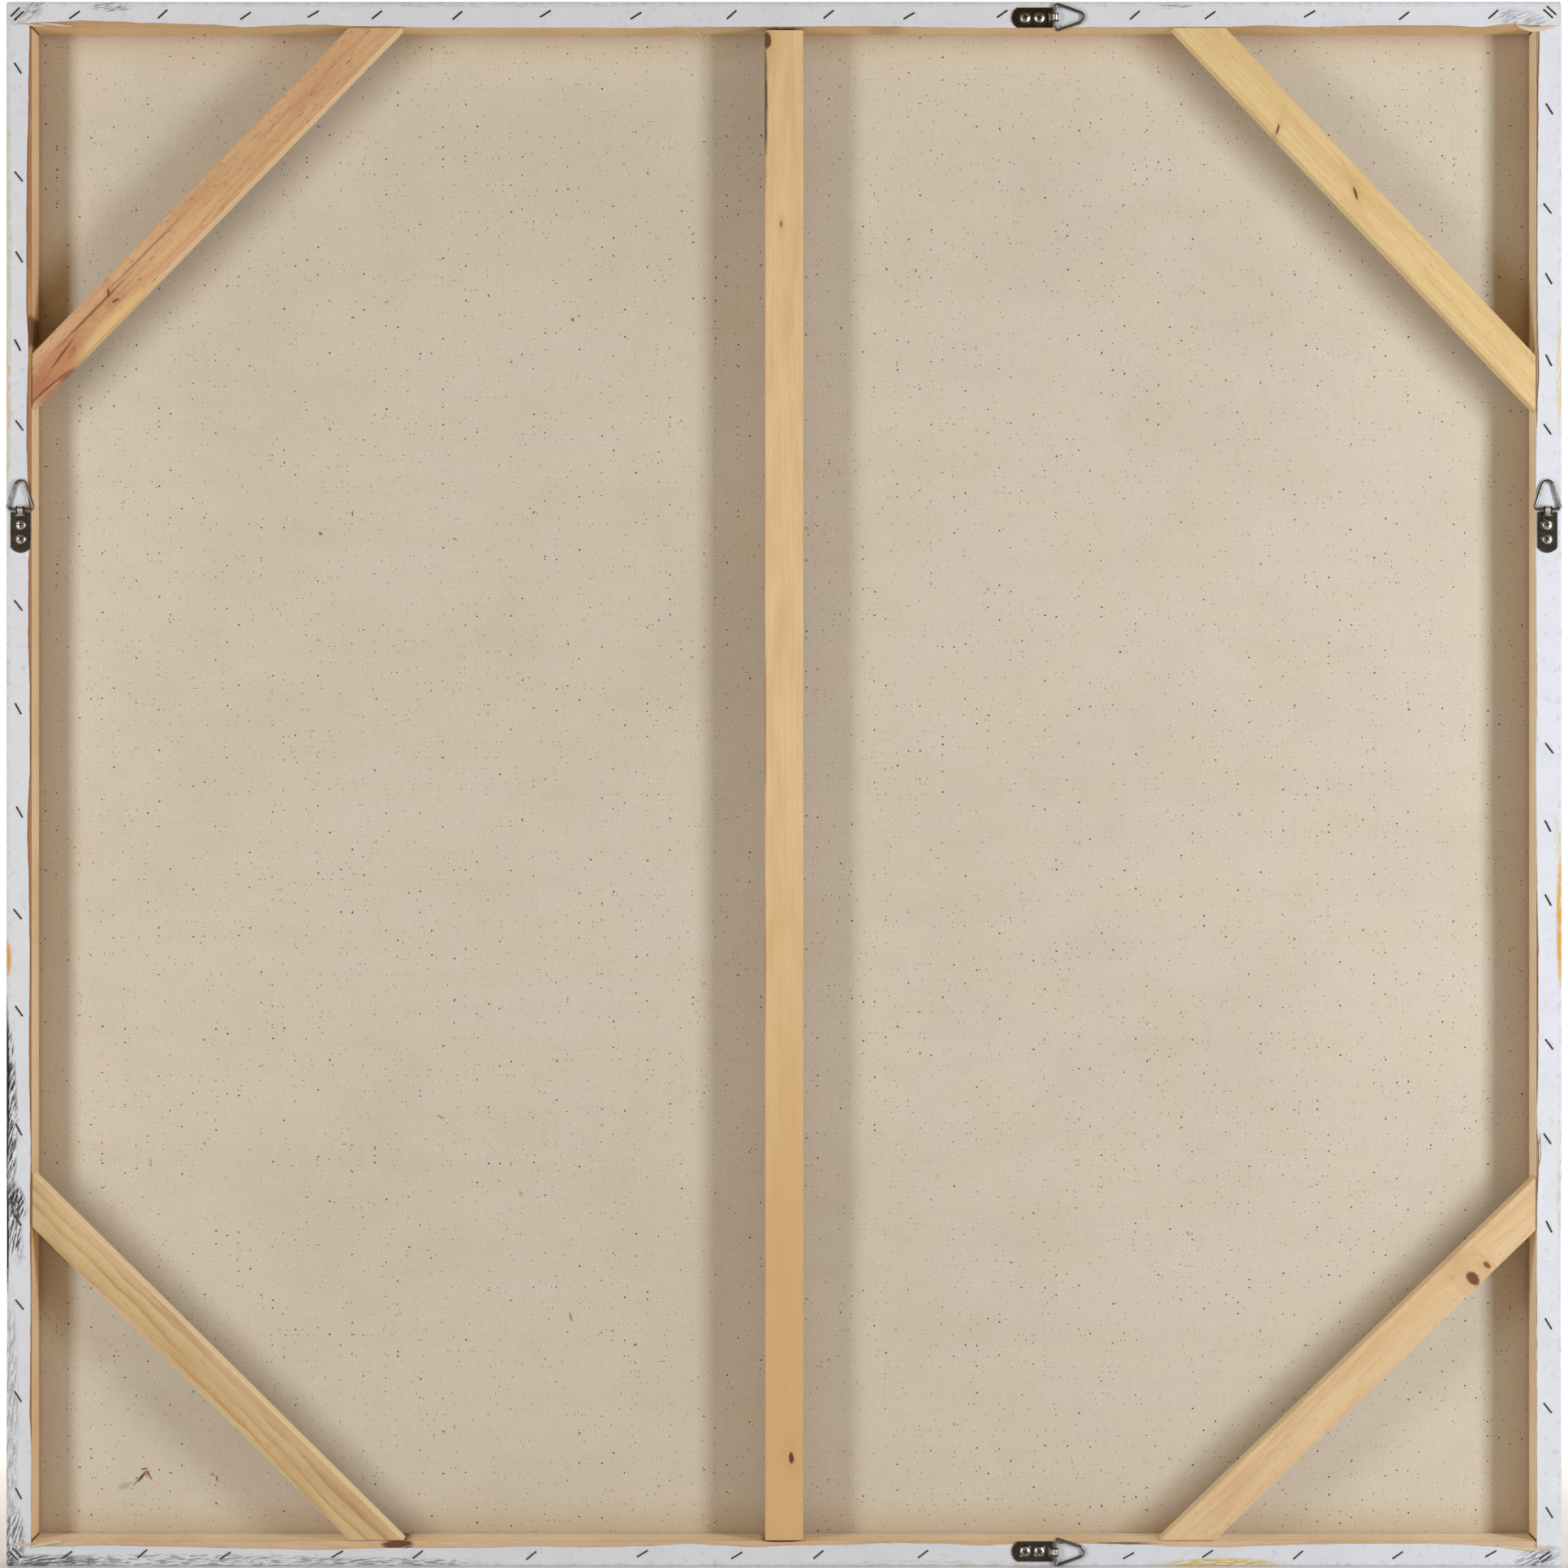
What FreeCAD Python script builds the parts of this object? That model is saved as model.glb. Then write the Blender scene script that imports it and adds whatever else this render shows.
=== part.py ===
import FreeCAD, Part
import Sketcher

import math
import os

# A gallery-depth stretched canvas standing on its bottom edge. +Z is up, +X runs to the right as
# the back is looked at, the open back faces -Y and the primed front faces +Y. The origin is the
# middle of the bottom edge face, half way through the depth of the stretcher bars.

Vector = FreeCAD.Vector
Rotation = FreeCAD.Rotation
Placement = FreeCAD.Placement

X_AXIS = Vector(1, 0, 0)
Y_AXIS = Vector(0, 1, 0)
Z_AXIS = Vector(0, 0, 1)
TOLERANCE = 1e-4

# Driving dimensions in millimetres (lean in degrees).
DIMENSIONS = {
    "canvas_width": 1219.0,
    "canvas_height": 1226.0,
    "cloth": 0.6,
    "flap_width": 18.0,
    "bar_width": 19.0,
    "bar_depth": 38.0,
    "bar_lip": 5.0,
    "bevel_drop": 3.5,
    "bar_ease": 0.8,
    "brace_width": 30.0,
    "brace_depth": 19.0,
    "brace_gap": 0.6,
    "centre_top_gap": 2.6,
    "brace_ease": 1.2,
    "strap_width": 16.0,
    "strap_sheet": 1.2,
    "strap_length": 34.3,
    "strap_end_radius": 9.2,
    "strap_shoulder": 2.2,
    "strap_ease": 0.35,
    "tongue_width": 6.6,
    "tongue_reach": 4.0,
    "tongue_end": 5.4,
    "dovetail_width": 8.0,
    "rim_middle": 4.95,
    "rim_radius": 0.45,
    "hole_radius": 2.1,
    "first_hole": 12.2,
    "hole_pitch": 11.2,
    "wire_radius": 1.25,
    "knuckle_gap": 0.15,
    "ring_half_base": 10.0,
    "ring_corner": 2.1,
    "ring_tip_radius": 4.4,
    "ring_reach": 22.4,
    "ring_lean": 2.6,
    "head_radius": 4.2,
    "head_edge": 0.7,
    "head_height": 2.1,
    "shank_radius": 1.75,
    "shank_depth": 15.0,
    "screw_point": 2.5,
    "recess_width": 1.1,
    "recess_length": 4.6,
    "recess_depth": 1.4,
    "crown": 10.2,
    "staple_width": 1.2,
    "staple_sheet": 0.5,
    "staple_leg": 8.0,
    "nail_radius": 1.1,
    "nail_head_radius": 2.4,
    "nail_head_height": 1.0,
    "nail_length": 36.0,
    "wedge_arm": 3.5,
    "wedge_sheet": 0.6,
    "wedge_depth": 9.0,
    "first_wedge": 5.8,
    "wedge_pitch": 5.0,
    "nail_offset": 8.0,
    "rim_root": 0.2,
    "side_hanger_inset": 11.4,
    "top_hanger_inset": 12.6,
    "bottom_hanger_inset": 11.6,
    "side_hanger_height": 828.2,
    "end_hanger_offset": 212.4,
    "top_left_across": 270.0,
    "top_left_down": 278.0,
    "top_right_across": 265.0,
    "top_right_down": 280.0,
    "bottom_left_across": 271.0,
    "bottom_left_down": 268.0,
    "bottom_right_across": 274.0,
    "bottom_right_down": 265.0,
}

# Staples were driven by hand at uneven steps: distance from the canvas's middle along each bar.
TOP_STAPLES = (-556, -487, -422, -369, -319, -256, -187, -116, -41, 35, 98, 171, 275, 334, 412, 486, 556)
BOTTOM_STAPLES = (-562, -503, -438, -350, -287, -198, -111, -37, 27, 109, 270, 332, 403, 481, 554)
LEFT_STAPLES = (561, 476, 413, 344, 281, 140, 59, -22, -102, -178, -271, -342, -408, -480, -556)
RIGHT_STAPLES = (529, 451, 396, 332, 278, 28, -33, -91, -204, -278, -347, -423, -489, -571)
STAPLE_INSETS = {"top": 10.3, "bottom": 9.0, "left": 9.6, "right": 10.4}
STAPLE_TURNS = {"top": 36, "bottom": 35, "left": -57, "right": -58}
# How far each staple strays from its row's line, and how far its turn strays from the row's turn.
STAPLE_STRAY = 0.8
STAPLE_STRAY_STEP = 2.4
STAPLE_SCATTER = 6
STAPLE_SCATTER_STEP = 1.7

# The angle, in degrees, at which each hanger screw's cross recess came to rest.
SCREW_STOPS = {"left": (88, 123), "right": (105, 140), "top": (71, 106), "bottom": (122, 157)}

# Each corner fold is held by two staples side by side: x and z inwards from the corner, and turn.
CORNER_STAPLES = {
    (-1, 1): ((7.0, 8.2), (10.0, 11.2), 44),
    (1, 1): ((10.7, 9.4), (8.0, 7.0), -42),
    (-1, -1): ((5.8, 8.2), (8.6, 10.6), -45),
    (1, -1): ((13.5, 8.6), (12.0, 5.9), 36),
}

# Outward side of each stretcher bar and the turn about +Y that brings the bottom bar there.
BAR_TURNS = {"bottom": 0, "left": 90, "top": 180, "right": -90}
CORNERS = {"top_left": (-1, 1), "top_right": (1, 1), "bottom_left": (-1, -1), "bottom_right": (1, -1)}

doc = FreeCAD.newDocument("stretched_canvas")
sheet = doc.addObject("Spreadsheet::Sheet", "Dims")
for row, (alias, number) in enumerate(DIMENSIONS.items(), start=1):
    sheet.set(f"A{row}", alias)
    sheet.set(f"B{row}", str(number))
    sheet.setAlias(f"B{row}", alias)
doc.recompute()

nodes = []


def value(expression):
    """The number that an expression over the sheet's cells gives now."""
    return float(sheet.evalExpression(expression))


def bind(target, **expressions):
    """Bind properties of one object to expressions over the sheet's cells."""
    for name, expression in expressions.items():
        target.setExpression(name, expression)


def new_body(label):
    body = doc.addObject("PartDesign::Body", label)
    body.Label = label
    return body


def new_sketch(body, name, role, offset=None):
    """A sketch on one of the body's own origin planes, moved along the plane's normal by offset."""
    plane = next(feature for feature in body.Origin.OriginFeatures if feature.Role == role)
    sketch = body.newObject("Sketcher::SketchObject", name)
    sketch.AttachmentSupport = [(plane, "")]
    sketch.MapMode = "FlatFace"
    if offset is not None:
        sketch.setExpression("AttachmentOffset.Base.z", offset)
    return sketch


def fix_point(sketch, geometry, end, name, across, up):
    """Hold a sketch point at expressions measured from the sketch's origin."""
    for kind, part, expression in (("DistanceX", "across", across), ("DistanceY", "up", up)):
        constraint = Sketcher.Constraint(kind, -1, 1, geometry, end, value(expression))
        index = sketch.addConstraint(constraint)
        sketch.renameConstraint(index, f"{name}_{part}")
        sketch.setExpression(f"Constraints.{name}_{part}", expression)


def arc_between(first, last, radius, turn):
    """The shorter arc from first to last; turn is +1 when it bends left and -1 when it bends right."""
    chord = last - first
    rise = math.sqrt(max(radius * radius - chord.Length ** 2 / 4, 0.0))
    left = Vector(-chord.y, chord.x, 0).normalize()
    centre = (first + last) * 0.5 + left * (rise * turn)
    middle = centre - left * (radius * turn)
    return Part.Arc(first, middle, last)


def outline(sketch, corners, arcs=None):
    """A closed outline through corners; arcs maps a side's number to its radius and bend."""
    arcs = arcs or {}
    points = [Vector(value(across), value(up), 0) for across, up in corners]
    ends = []
    for number, first in enumerate(points):
        last = points[(number + 1) % len(points)]
        if number in arcs:
            radius, turn = arcs[number]
            geometry = sketch.addGeometry(arc_between(first, last, value(radius), turn))
            ends.append((geometry, 1, 2) if turn > 0 else (geometry, 2, 1))
        else:
            ends.append((sketch.addGeometry(Part.LineSegment(first, last)), 1, 2))
    for number, (geometry, start, _) in enumerate(ends):
        before, _, finish = ends[number - 1]
        sketch.addConstraint(Sketcher.Constraint("Coincident", before, finish, geometry, start))
        fix_point(sketch, geometry, start, f"corner{number}", *corners[number])
    for number, (radius, _) in arcs.items():
        index = sketch.addConstraint(Sketcher.Constraint("Radius", ends[number][0], value(radius)))
        sketch.renameConstraint(index, f"bend{number}")
        sketch.setExpression(f"Constraints.bend{number}", radius)


def circle(sketch, name, across, up, radius):
    centre = Vector(value(across), value(up), 0)
    geometry = sketch.addGeometry(Part.Circle(centre, Z_AXIS, value(radius)))
    fix_point(sketch, geometry, 3, name, across, up)
    index = sketch.addConstraint(Sketcher.Constraint("Radius", geometry, value(radius)))
    sketch.renameConstraint(index, f"{name}_radius")
    sketch.setExpression(f"Constraints.{name}_radius", radius)


def pad(body, name, sketch, length, symmetric=False):
    feature = body.newObject("PartDesign::Pad", name)
    feature.Profile = sketch
    feature.SideType = "Symmetric" if symmetric else "One side"
    bind(feature, Length=length)
    doc.recompute()
    return feature


def pocket(body, name, sketch, length, symmetric=False, reverse=False):
    """A pocket that is checked to have removed material."""
    before = body.Shape.Volume
    feature = body.newObject("PartDesign::Pocket", name)
    feature.Profile = sketch
    feature.SideType = "Symmetric" if symmetric else "One side"
    feature.Reversed = reverse
    bind(feature, Length=length)
    doc.recompute()
    if not body.Shape.Volume < before - TOLERANCE:
        raise RuntimeError(f"{body.Label}: {name} removed nothing")
    return feature


def dress(body, name, kind, base, size, wanted):
    """Round (Fillet) or bevel (Chamfer) the edges of base whose middle and direction satisfy wanted."""
    picked = []
    for number, edge in enumerate(base.Shape.Edges, start=1):
        middle = edge.valueAt((edge.FirstParameter + edge.LastParameter) / 2)
        if wanted(edge, middle):
            picked.append(f"Edge{number}")
    feature = body.newObject(f"PartDesign::{kind}", name)
    feature.Base = (base, picked)
    feature.setExpression("Radius" if kind == "Fillet" else "Size", size)
    doc.recompute()
    return feature


def runs_along(edge, axis):
    direction = edge.Vertexes[-1].Point - edge.Vertexes[0].Point
    return direction.Length > TOLERANCE and direction.cross(axis).Length < TOLERANCE * direction.Length


def stretcher_bar(side):
    """A mitred bar on edge: flat back, bevel on the front so that the cloth only meets the lip."""
    across = "canvas_width" if side in ("top", "bottom") else "canvas_height"
    half = f"(Dims.{across} / 2 - Dims.cloth)"
    body = new_body(f"stretcher_bar_{side}")
    face = new_sketch(body, f"bar_face_{side}", "XZ_Plane")
    outline(face, [
        (f"-{half}", "0"),
        (half, "0"),
        (f"{half} - Dims.bar_width", "Dims.bar_width"),
        (f"-{half} + Dims.bar_width", "Dims.bar_width"),
    ])
    pad(body, f"bar_pad_{side}", face, "Dims.bar_depth", symmetric=True)
    bevel = new_sketch(body, f"bar_bevel_{side}", "YZ_Plane")
    outline(bevel, [
        ("Dims.bar_depth / 2", "Dims.bar_lip"),
        ("Dims.bar_depth / 2 + 1", "Dims.bar_width + 1"),
        ("Dims.bar_depth / 2 - Dims.bevel_drop", "Dims.bar_width"),
    ])
    cut = pocket(body, f"bevel_cut_{side}", bevel, f"Dims.{across} * 2", symmetric=True)
    back = -value("Dims.bar_depth / 2")
    inner = value("Dims.bar_width")
    dress(body, f"bar_eased_{side}", "Fillet", cut, "Dims.bar_ease", lambda edge, middle: (
        runs_along(edge, X_AXIS) and abs(middle.y - back) < TOLERANCE and abs(middle.z - inner) < TOLERANCE))
    turn = Rotation(Y_AXIS, BAR_TURNS[side])
    middle_height = value("Dims.canvas_height / 2")
    inset = value(f"Dims.{'canvas_height' if side in ('top', 'bottom') else 'canvas_width'} / 2 - Dims.cloth")
    body.Placement = Placement(Vector(0, 0, middle_height) - turn.multVec(Vector(0, 0, inset)), turn)
    nodes.append(body)


def centre_brace():
    """The upright brace between the top and bottom bars, flush with their backs."""
    body = new_body("centre_brace")
    end = "Dims.cloth + Dims.bar_width + Dims.brace_gap"
    top_end = "Dims.canvas_height - Dims.cloth - Dims.bar_width - Dims.centre_top_gap"
    face = new_sketch(body, "centre_brace_face", "XZ_Plane", "Dims.bar_depth / 2 - Dims.brace_depth")
    outline(face, [
        ("-Dims.brace_width / 2", end),
        ("Dims.brace_width / 2", end),
        ("Dims.brace_width / 2", top_end),
        ("-Dims.brace_width / 2", top_end),
    ])
    blank = pad(body, "centre_brace_pad", face, "Dims.brace_depth")
    dress(body, "centre_brace_eased", "Fillet", blank, "Dims.brace_ease",
          lambda edge, middle: runs_along(edge, Z_AXIS))
    nodes.append(body)


def corner_brace(corner):
    """A flat brace across one corner, its ends cut to lie against the two bars' inner faces."""
    side, level = CORNERS[corner]
    across = f"Dims.{corner}_across"
    down = f"Dims.{corner}_down"
    slant = f"sqrt(({across})^2 + ({down})^2)"
    half_across = f"Dims.brace_width / 2 * {slant} / {down}"
    half_down = f"Dims.brace_width / 2 * {slant} / {across}"
    gap = "Dims.brace_gap"
    body = new_body(f"corner_brace_{corner}")
    face = new_sketch(body, f"brace_face_{corner}", "XZ_Plane", "Dims.bar_depth / 2 - Dims.brace_depth")

    def place(along_across, along_down):
        # From the frame's inner corner, measured inwards, to the body's own X and Z.
        inner_x = f"{side} * (Dims.canvas_width / 2 - Dims.cloth - Dims.bar_width - ({along_across}))"
        edge_z = f"(Dims.cloth + Dims.bar_width + ({along_down}))"
        inner_z = f"Dims.canvas_height - {edge_z}" if level > 0 else edge_z
        return inner_x, inner_z

    corners = [
        place(f"{across} - {half_across} - {gap} * {across} / {down}", gap),
        place(f"{across} + {half_across} - {gap} * {across} / {down}", gap),
        place(gap, f"{down} + {half_down} - {gap} * {down} / {across}"),
        place(gap, f"{down} - {half_down} - {gap} * {down} / {across}"),
    ]
    outline(face, corners)
    blank = pad(body, f"brace_pad_{corner}", face, "Dims.brace_depth")
    slope = Vector(side * value(across), 0, -level * value(down))
    dress(body, f"brace_eased_{corner}", "Fillet", blank, "Dims.brace_ease",
          lambda edge, middle: runs_along(edge, slope))
    nodes.append(body)


def part_box(name, size, corner):
    box = doc.addObject("Part::Box", name)
    bind(box, Length=size[0], Width=size[1], Height=size[2])
    for axis, expression in zip("xyz", corner):
        box.setExpression(f"Placement.Base.{axis}", expression)
    return box


def part_cut(name, base, tool):
    cut = doc.addObject("Part::Cut", name)
    cut.Base = base
    cut.Tool = tool
    return cut


def canvas():
    """One cloth: the front panel, the four edges and the flaps turned onto the back of the bars."""
    blank = part_box("cloth_blank",
                     ("Dims.canvas_width", "Dims.bar_depth + 2 * Dims.cloth", "Dims.canvas_height"),
                     ("-Dims.canvas_width / 2", "-Dims.bar_depth / 2 - Dims.cloth", "0"))
    inside = part_box("cloth_inside",
                      ("Dims.canvas_width - 2 * Dims.cloth", "Dims.bar_depth",
                       "Dims.canvas_height - 2 * Dims.cloth"),
                      ("-Dims.canvas_width / 2 + Dims.cloth", "-Dims.bar_depth / 2", "Dims.cloth"))
    window = part_box("cloth_window",
                      ("Dims.canvas_width - 2 * Dims.flap_width", "Dims.bar_depth",
                       "Dims.canvas_height - 2 * Dims.flap_width"),
                      ("-Dims.canvas_width / 2 + Dims.flap_width", "-Dims.bar_depth",
                       "Dims.flap_width"))
    shell = part_cut("cloth_shell", blank, inside)
    single = part_cut("cloth_single", shell, window)
    # At each corner the flap of the top or bottom lies over the end of the side's flap.
    folds = []
    for corner, (side, level) in CORNERS.items():
        folds.append(part_box(
            f"fold_{corner}",
            ("Dims.flap_width", "Dims.cloth", "Dims.flap_width"),
            ("-Dims.canvas_width / 2" if side < 0 else "Dims.canvas_width / 2 - Dims.flap_width",
             "-Dims.bar_depth / 2 - 2 * Dims.cloth",
             "0" if level < 0 else "Dims.canvas_height - Dims.flap_width")))
    cloth = doc.addObject("Part::MultiFuse", "canvas")
    cloth.Shapes = [single] + folds
    cloth.Refine = True
    cloth.Label = "canvas"
    nodes.append(cloth)


def hanger_placement(side):
    """Where a hanger's own origin goes: the foot of the ring's bar on the cloth's back surface."""
    back = -value("Dims.bar_depth / 2 + Dims.cloth")
    half = value("Dims.canvas_width / 2 - Dims.side_hanger_inset")
    spots = {
        "left": (Vector(-half, back, value("Dims.side_hanger_height")), 0),
        "right": (Vector(half, back, value("Dims.side_hanger_height")), 0),
        "top": (Vector(value("Dims.end_hanger_offset"), back,
                       value("Dims.canvas_height - Dims.top_hanger_inset")), 90),
        "bottom": (Vector(value("Dims.end_hanger_offset"), back, value("Dims.bottom_hanger_inset")), 90),
    }
    base, turn = spots[side]
    return Placement(base, Rotation(Y_AXIS, turn))


KNUCKLE = "(Dims.strap_sheet + Dims.wire_radius + Dims.knuckle_gap)"
BORE = "(Dims.wire_radius + Dims.knuckle_gap)"
SLOPE = f"(2 * atan({BORE} / Dims.tongue_reach))"


def hanger_strap(side):
    """A two-hole strap whose tongue rolls over the ring's bar and lies back on the plate."""
    body = new_body(f"hanger_strap_{side}")
    half = "Dims.strap_width / 2"
    corner = f"Dims.strap_length - Dims.strap_end_radius + sqrt(Dims.strap_end_radius^2 - ({half})^2)"
    plate = new_sketch(body, f"strap_plate_{side}", "XZ_Plane")
    outline(plate, [
        (f"-({half})", "-Dims.strap_shoulder"),
        (f"-({half})", f"-({corner})"),
        (half, f"-({corner})"),
        (half, "-Dims.strap_shoulder"),
    ], arcs={1: ("Dims.strap_end_radius", 1)})
    blank = pad(body, f"strap_pad_{side}", plate, "Dims.strap_sheet")
    top = -value("Dims.strap_sheet")
    shoulder = -value("Dims.strap_shoulder")
    dress(body, f"strap_eased_{side}", "Chamfer", blank, "Dims.strap_ease",
          lambda edge, middle: abs(middle.y - top) < TOLERANCE and middle.z < shoulder - 1)

    roll = new_sketch(body, f"tongue_roll_{side}", "YZ_Plane")
    inner_w = f"{KNUCKLE} + {BORE} * cos({SLOPE})"
    inner_v = f"-{BORE} * sin({SLOPE})"
    outer = f"({BORE} + Dims.strap_sheet)"
    outer_w = f"{KNUCKLE} + {outer} * cos({SLOPE})"
    outer_v = f"-{outer} * sin({SLOPE})"
    level = "2 * Dims.strap_sheet"
    foot_v = f"{outer_v} - ({outer_w} - {level}) / tan({SLOPE})"
    outline(roll, [
        ("0", "-Dims.strap_shoulder - 1"),
        ("0", "0"),
        (f"-({KNUCKLE} + {outer})", "0"),
        (f"-({outer_w})", outer_v),
        (f"-({level})", foot_v),
        (f"-({level})", "-Dims.tongue_end"),
        ("-Dims.strap_sheet", "-Dims.tongue_end"),
        ("-Dims.strap_sheet", "-Dims.tongue_reach"),
        (f"-({inner_w})", inner_v),
        (f"-({KNUCKLE} + {BORE})", "0"),
        ("-Dims.strap_sheet", "0"),
        ("-Dims.strap_sheet", "-Dims.strap_shoulder - 1"),
    ], arcs={1: (f"{outer} + 0.0001", 1), 2: (outer, 1), 8: (BORE, -1), 9: (f"{BORE} + 0.0001", -1)})
    pad(body, f"tongue_pad_{side}", roll, "Dims.tongue_width", symmetric=True)

    tail = new_sketch(body, f"tongue_tail_{side}", "XZ_Plane", "Dims.strap_sheet")
    outline(tail, [
        ("-Dims.tongue_width / 2", "-Dims.tongue_reach"),
        ("-Dims.dovetail_width / 2", "-Dims.tongue_end"),
        ("Dims.dovetail_width / 2", "-Dims.tongue_end"),
        ("Dims.tongue_width / 2", "-Dims.tongue_reach"),
    ])
    pad(body, f"tail_pad_{side}", tail, "Dims.strap_sheet")

    for number, station in enumerate(("Dims.first_hole", "Dims.first_hole + Dims.hole_pitch")):
        rim = new_sketch(body, f"rim_{side}_{number}", "XZ_Plane", "Dims.strap_sheet - Dims.rim_root")
        circle(rim, "outer", "0", f"-({station})", "Dims.rim_middle + Dims.rim_radius")
        circle(rim, "inner", "0", f"-({station})", "Dims.rim_middle - Dims.rim_radius")
        raised = pad(body, f"rim_pad_{side}_{number}", rim, "Dims.rim_radius + Dims.rim_root")
        crest = -value("Dims.strap_sheet + Dims.rim_radius")
        dress(body, f"rim_round_{side}_{number}", "Fillet", raised, "Dims.rim_radius * 0.7",
              lambda edge, middle: (
                  abs(middle.y - crest) < TOLERANCE
                  and abs(middle.z + value(station)) < value("Dims.rim_middle") + 1))
        hole = new_sketch(body, f"hole_{side}_{number}", "XZ_Plane")
        circle(hole, "screw", "0", f"-({station})", "Dims.hole_radius")
        pocket(body, f"hole_cut_{side}_{number}", hole, "Dims.strap_sheet * 4", symmetric=True)
    body.Placement = hanger_placement(side)
    nodes.append(body)


def d_ring(side):
    """A wire loop with a straight bar, two converging legs and a rounded tip."""
    body = new_body(f"d_ring_{side}")
    path = new_sketch(body, f"ring_path_{side}", "XZ_Plane", KNUCKLE)
    half = value("Dims.ring_half_base")
    corner = value("Dims.ring_corner")
    tip = value("Dims.ring_tip_radius")
    corner_centre = Vector(half - corner, corner, 0)
    tip_centre = Vector(0, value("Dims.ring_reach") - tip, 0)
    # The right leg touches the corner's and the tip's circles from outside.
    between = tip_centre - corner_centre
    swing = math.asin((corner - tip) / between.Length)
    heading = math.atan2(between.y, between.x) + swing
    normal = Vector(math.sin(heading), -math.cos(heading), 0)
    leg_low = corner_centre + normal * corner
    leg_high = tip_centre + normal * tip

    def mirrored(point):
        return Vector(-point.x, point.y, 0)

    base_end = Vector(corner_centre.x, 0, 0)
    bend = (normal + Vector(0, -1, 0)).normalize()
    right_corner = Part.Arc(base_end, corner_centre + bend * corner, leg_low)
    tip_arc = Part.Arc(leg_high, tip_centre + Vector(0, tip, 0), mirrored(leg_high))
    left_corner = Part.Arc(mirrored(leg_low), mirrored(corner_centre + bend * corner), mirrored(base_end))
    pieces = [
        Part.LineSegment(Vector(0, 0, 0), base_end),
        right_corner,
        Part.LineSegment(leg_low, leg_high),
        tip_arc,
        Part.LineSegment(mirrored(leg_high), mirrored(leg_low)),
        left_corner,
        Part.LineSegment(mirrored(base_end), Vector(0, 0, 0)),
    ]
    numbers = [path.addGeometry(piece) for piece in pieces]
    for first, second in zip(numbers, numbers[1:]):
        path.addConstraint(Sketcher.Constraint("Tangent", first, 2, second, 1))
    path.addConstraint(Sketcher.Constraint("Coincident", numbers[-1], 2, numbers[0], 1))
    path.addConstraint(Sketcher.Constraint("Coincident", numbers[0], 1, -1, 1))
    path.addConstraint(Sketcher.Constraint("Horizontal", numbers[0]))
    path.addConstraint(Sketcher.Constraint("Horizontal", numbers[-1]))
    path.addConstraint(Sketcher.Constraint("PointOnObject", numbers[3], 3, -2))
    for number, name in ((numbers[1], "corner"), (numbers[5], "corner_left"), (numbers[3], "tip")):
        index = path.addConstraint(Sketcher.Constraint("Radius", number, value(
            "Dims.ring_tip_radius" if name == "tip" else "Dims.ring_corner")))
        path.renameConstraint(index, name)
        path.setExpression(f"Constraints.{name}",
                           "Dims.ring_tip_radius" if name == "tip" else "Dims.ring_corner")
    for name, kind, number, expression in (
            ("base_right", "DistanceX", numbers[1], "Dims.ring_half_base - Dims.ring_corner"),
            ("base_left", "DistanceX", numbers[5], "Dims.ring_corner - Dims.ring_half_base"),
            ("tip_height", "DistanceY", numbers[3], "Dims.ring_reach - Dims.ring_tip_radius")):
        index = path.addConstraint(Sketcher.Constraint(kind, -1, 1, number, 3, value(expression)))
        path.renameConstraint(index, name)
        path.setExpression(f"Constraints.{name}", expression)

    section = new_sketch(body, f"ring_section_{side}", "YZ_Plane")
    circle(section, "wire", f"-{KNUCKLE}", "0", "Dims.wire_radius")
    doc.recompute()
    pipe = body.newObject("PartDesign::AdditivePipe", f"ring_pipe_{side}")
    pipe.Profile = section
    pipe.Spine = (path, [f"Edge{number}" for number in range(1, len(pieces) + 1)])
    doc.recompute()
    base = hanger_placement(side)
    bar = Vector(0, -value(KNUCKLE), 0)
    lean = Placement(Vector(0, 0, 0), Rotation(X_AXIS, -value("Dims.ring_lean")), bar)
    body.Placement = base.multiply(lean)
    nodes.append(body)


def screw_master():
    """A pan-head screw standing at the strap's foot plane, its shank running into the wood."""
    body = new_body("hanger_screw")
    profile = new_sketch(body, "screw_profile", "YZ_Plane")
    outline(profile, [
        ("Dims.shank_depth", "0"),
        ("Dims.shank_depth - Dims.screw_point", "Dims.shank_radius"),
        ("-Dims.strap_sheet", "Dims.shank_radius"),
        ("-Dims.strap_sheet", "Dims.head_radius"),
        ("-Dims.strap_sheet - Dims.head_edge", "Dims.head_radius"),
        ("-Dims.strap_sheet - Dims.head_height", "0"),
    ], arcs={4: ("(Dims.head_radius^2 + (Dims.head_height - Dims.head_edge)^2)"
                 " / (2 * (Dims.head_height - Dims.head_edge))", 1)})
    turned = body.newObject("PartDesign::Revolution", "screw_turned")
    turned.Profile = profile
    turned.ReferenceAxis = (profile, ["H_Axis"])
    turned.Angle = 360
    doc.recompute()
    slots = (("recess_length", "recess_width"), ("recess_width", "recess_length"))
    for number, (across, up) in enumerate(slots):
        slot = new_sketch(body, f"recess_{number}", "XZ_Plane",
                          "Dims.strap_sheet + Dims.head_height - Dims.recess_depth")
        outline(slot, [
            (f"-Dims.{across} / 2", f"-Dims.{up} / 2"),
            (f"Dims.{across} / 2", f"-Dims.{up} / 2"),
            (f"Dims.{across} / 2", f"Dims.{up} / 2"),
            (f"-Dims.{across} / 2", f"Dims.{up} / 2"),
        ])
        pocket(body, f"recess_cut_{number}", slot, "Dims.recess_depth + 1", reverse=True)
    return body


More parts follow.
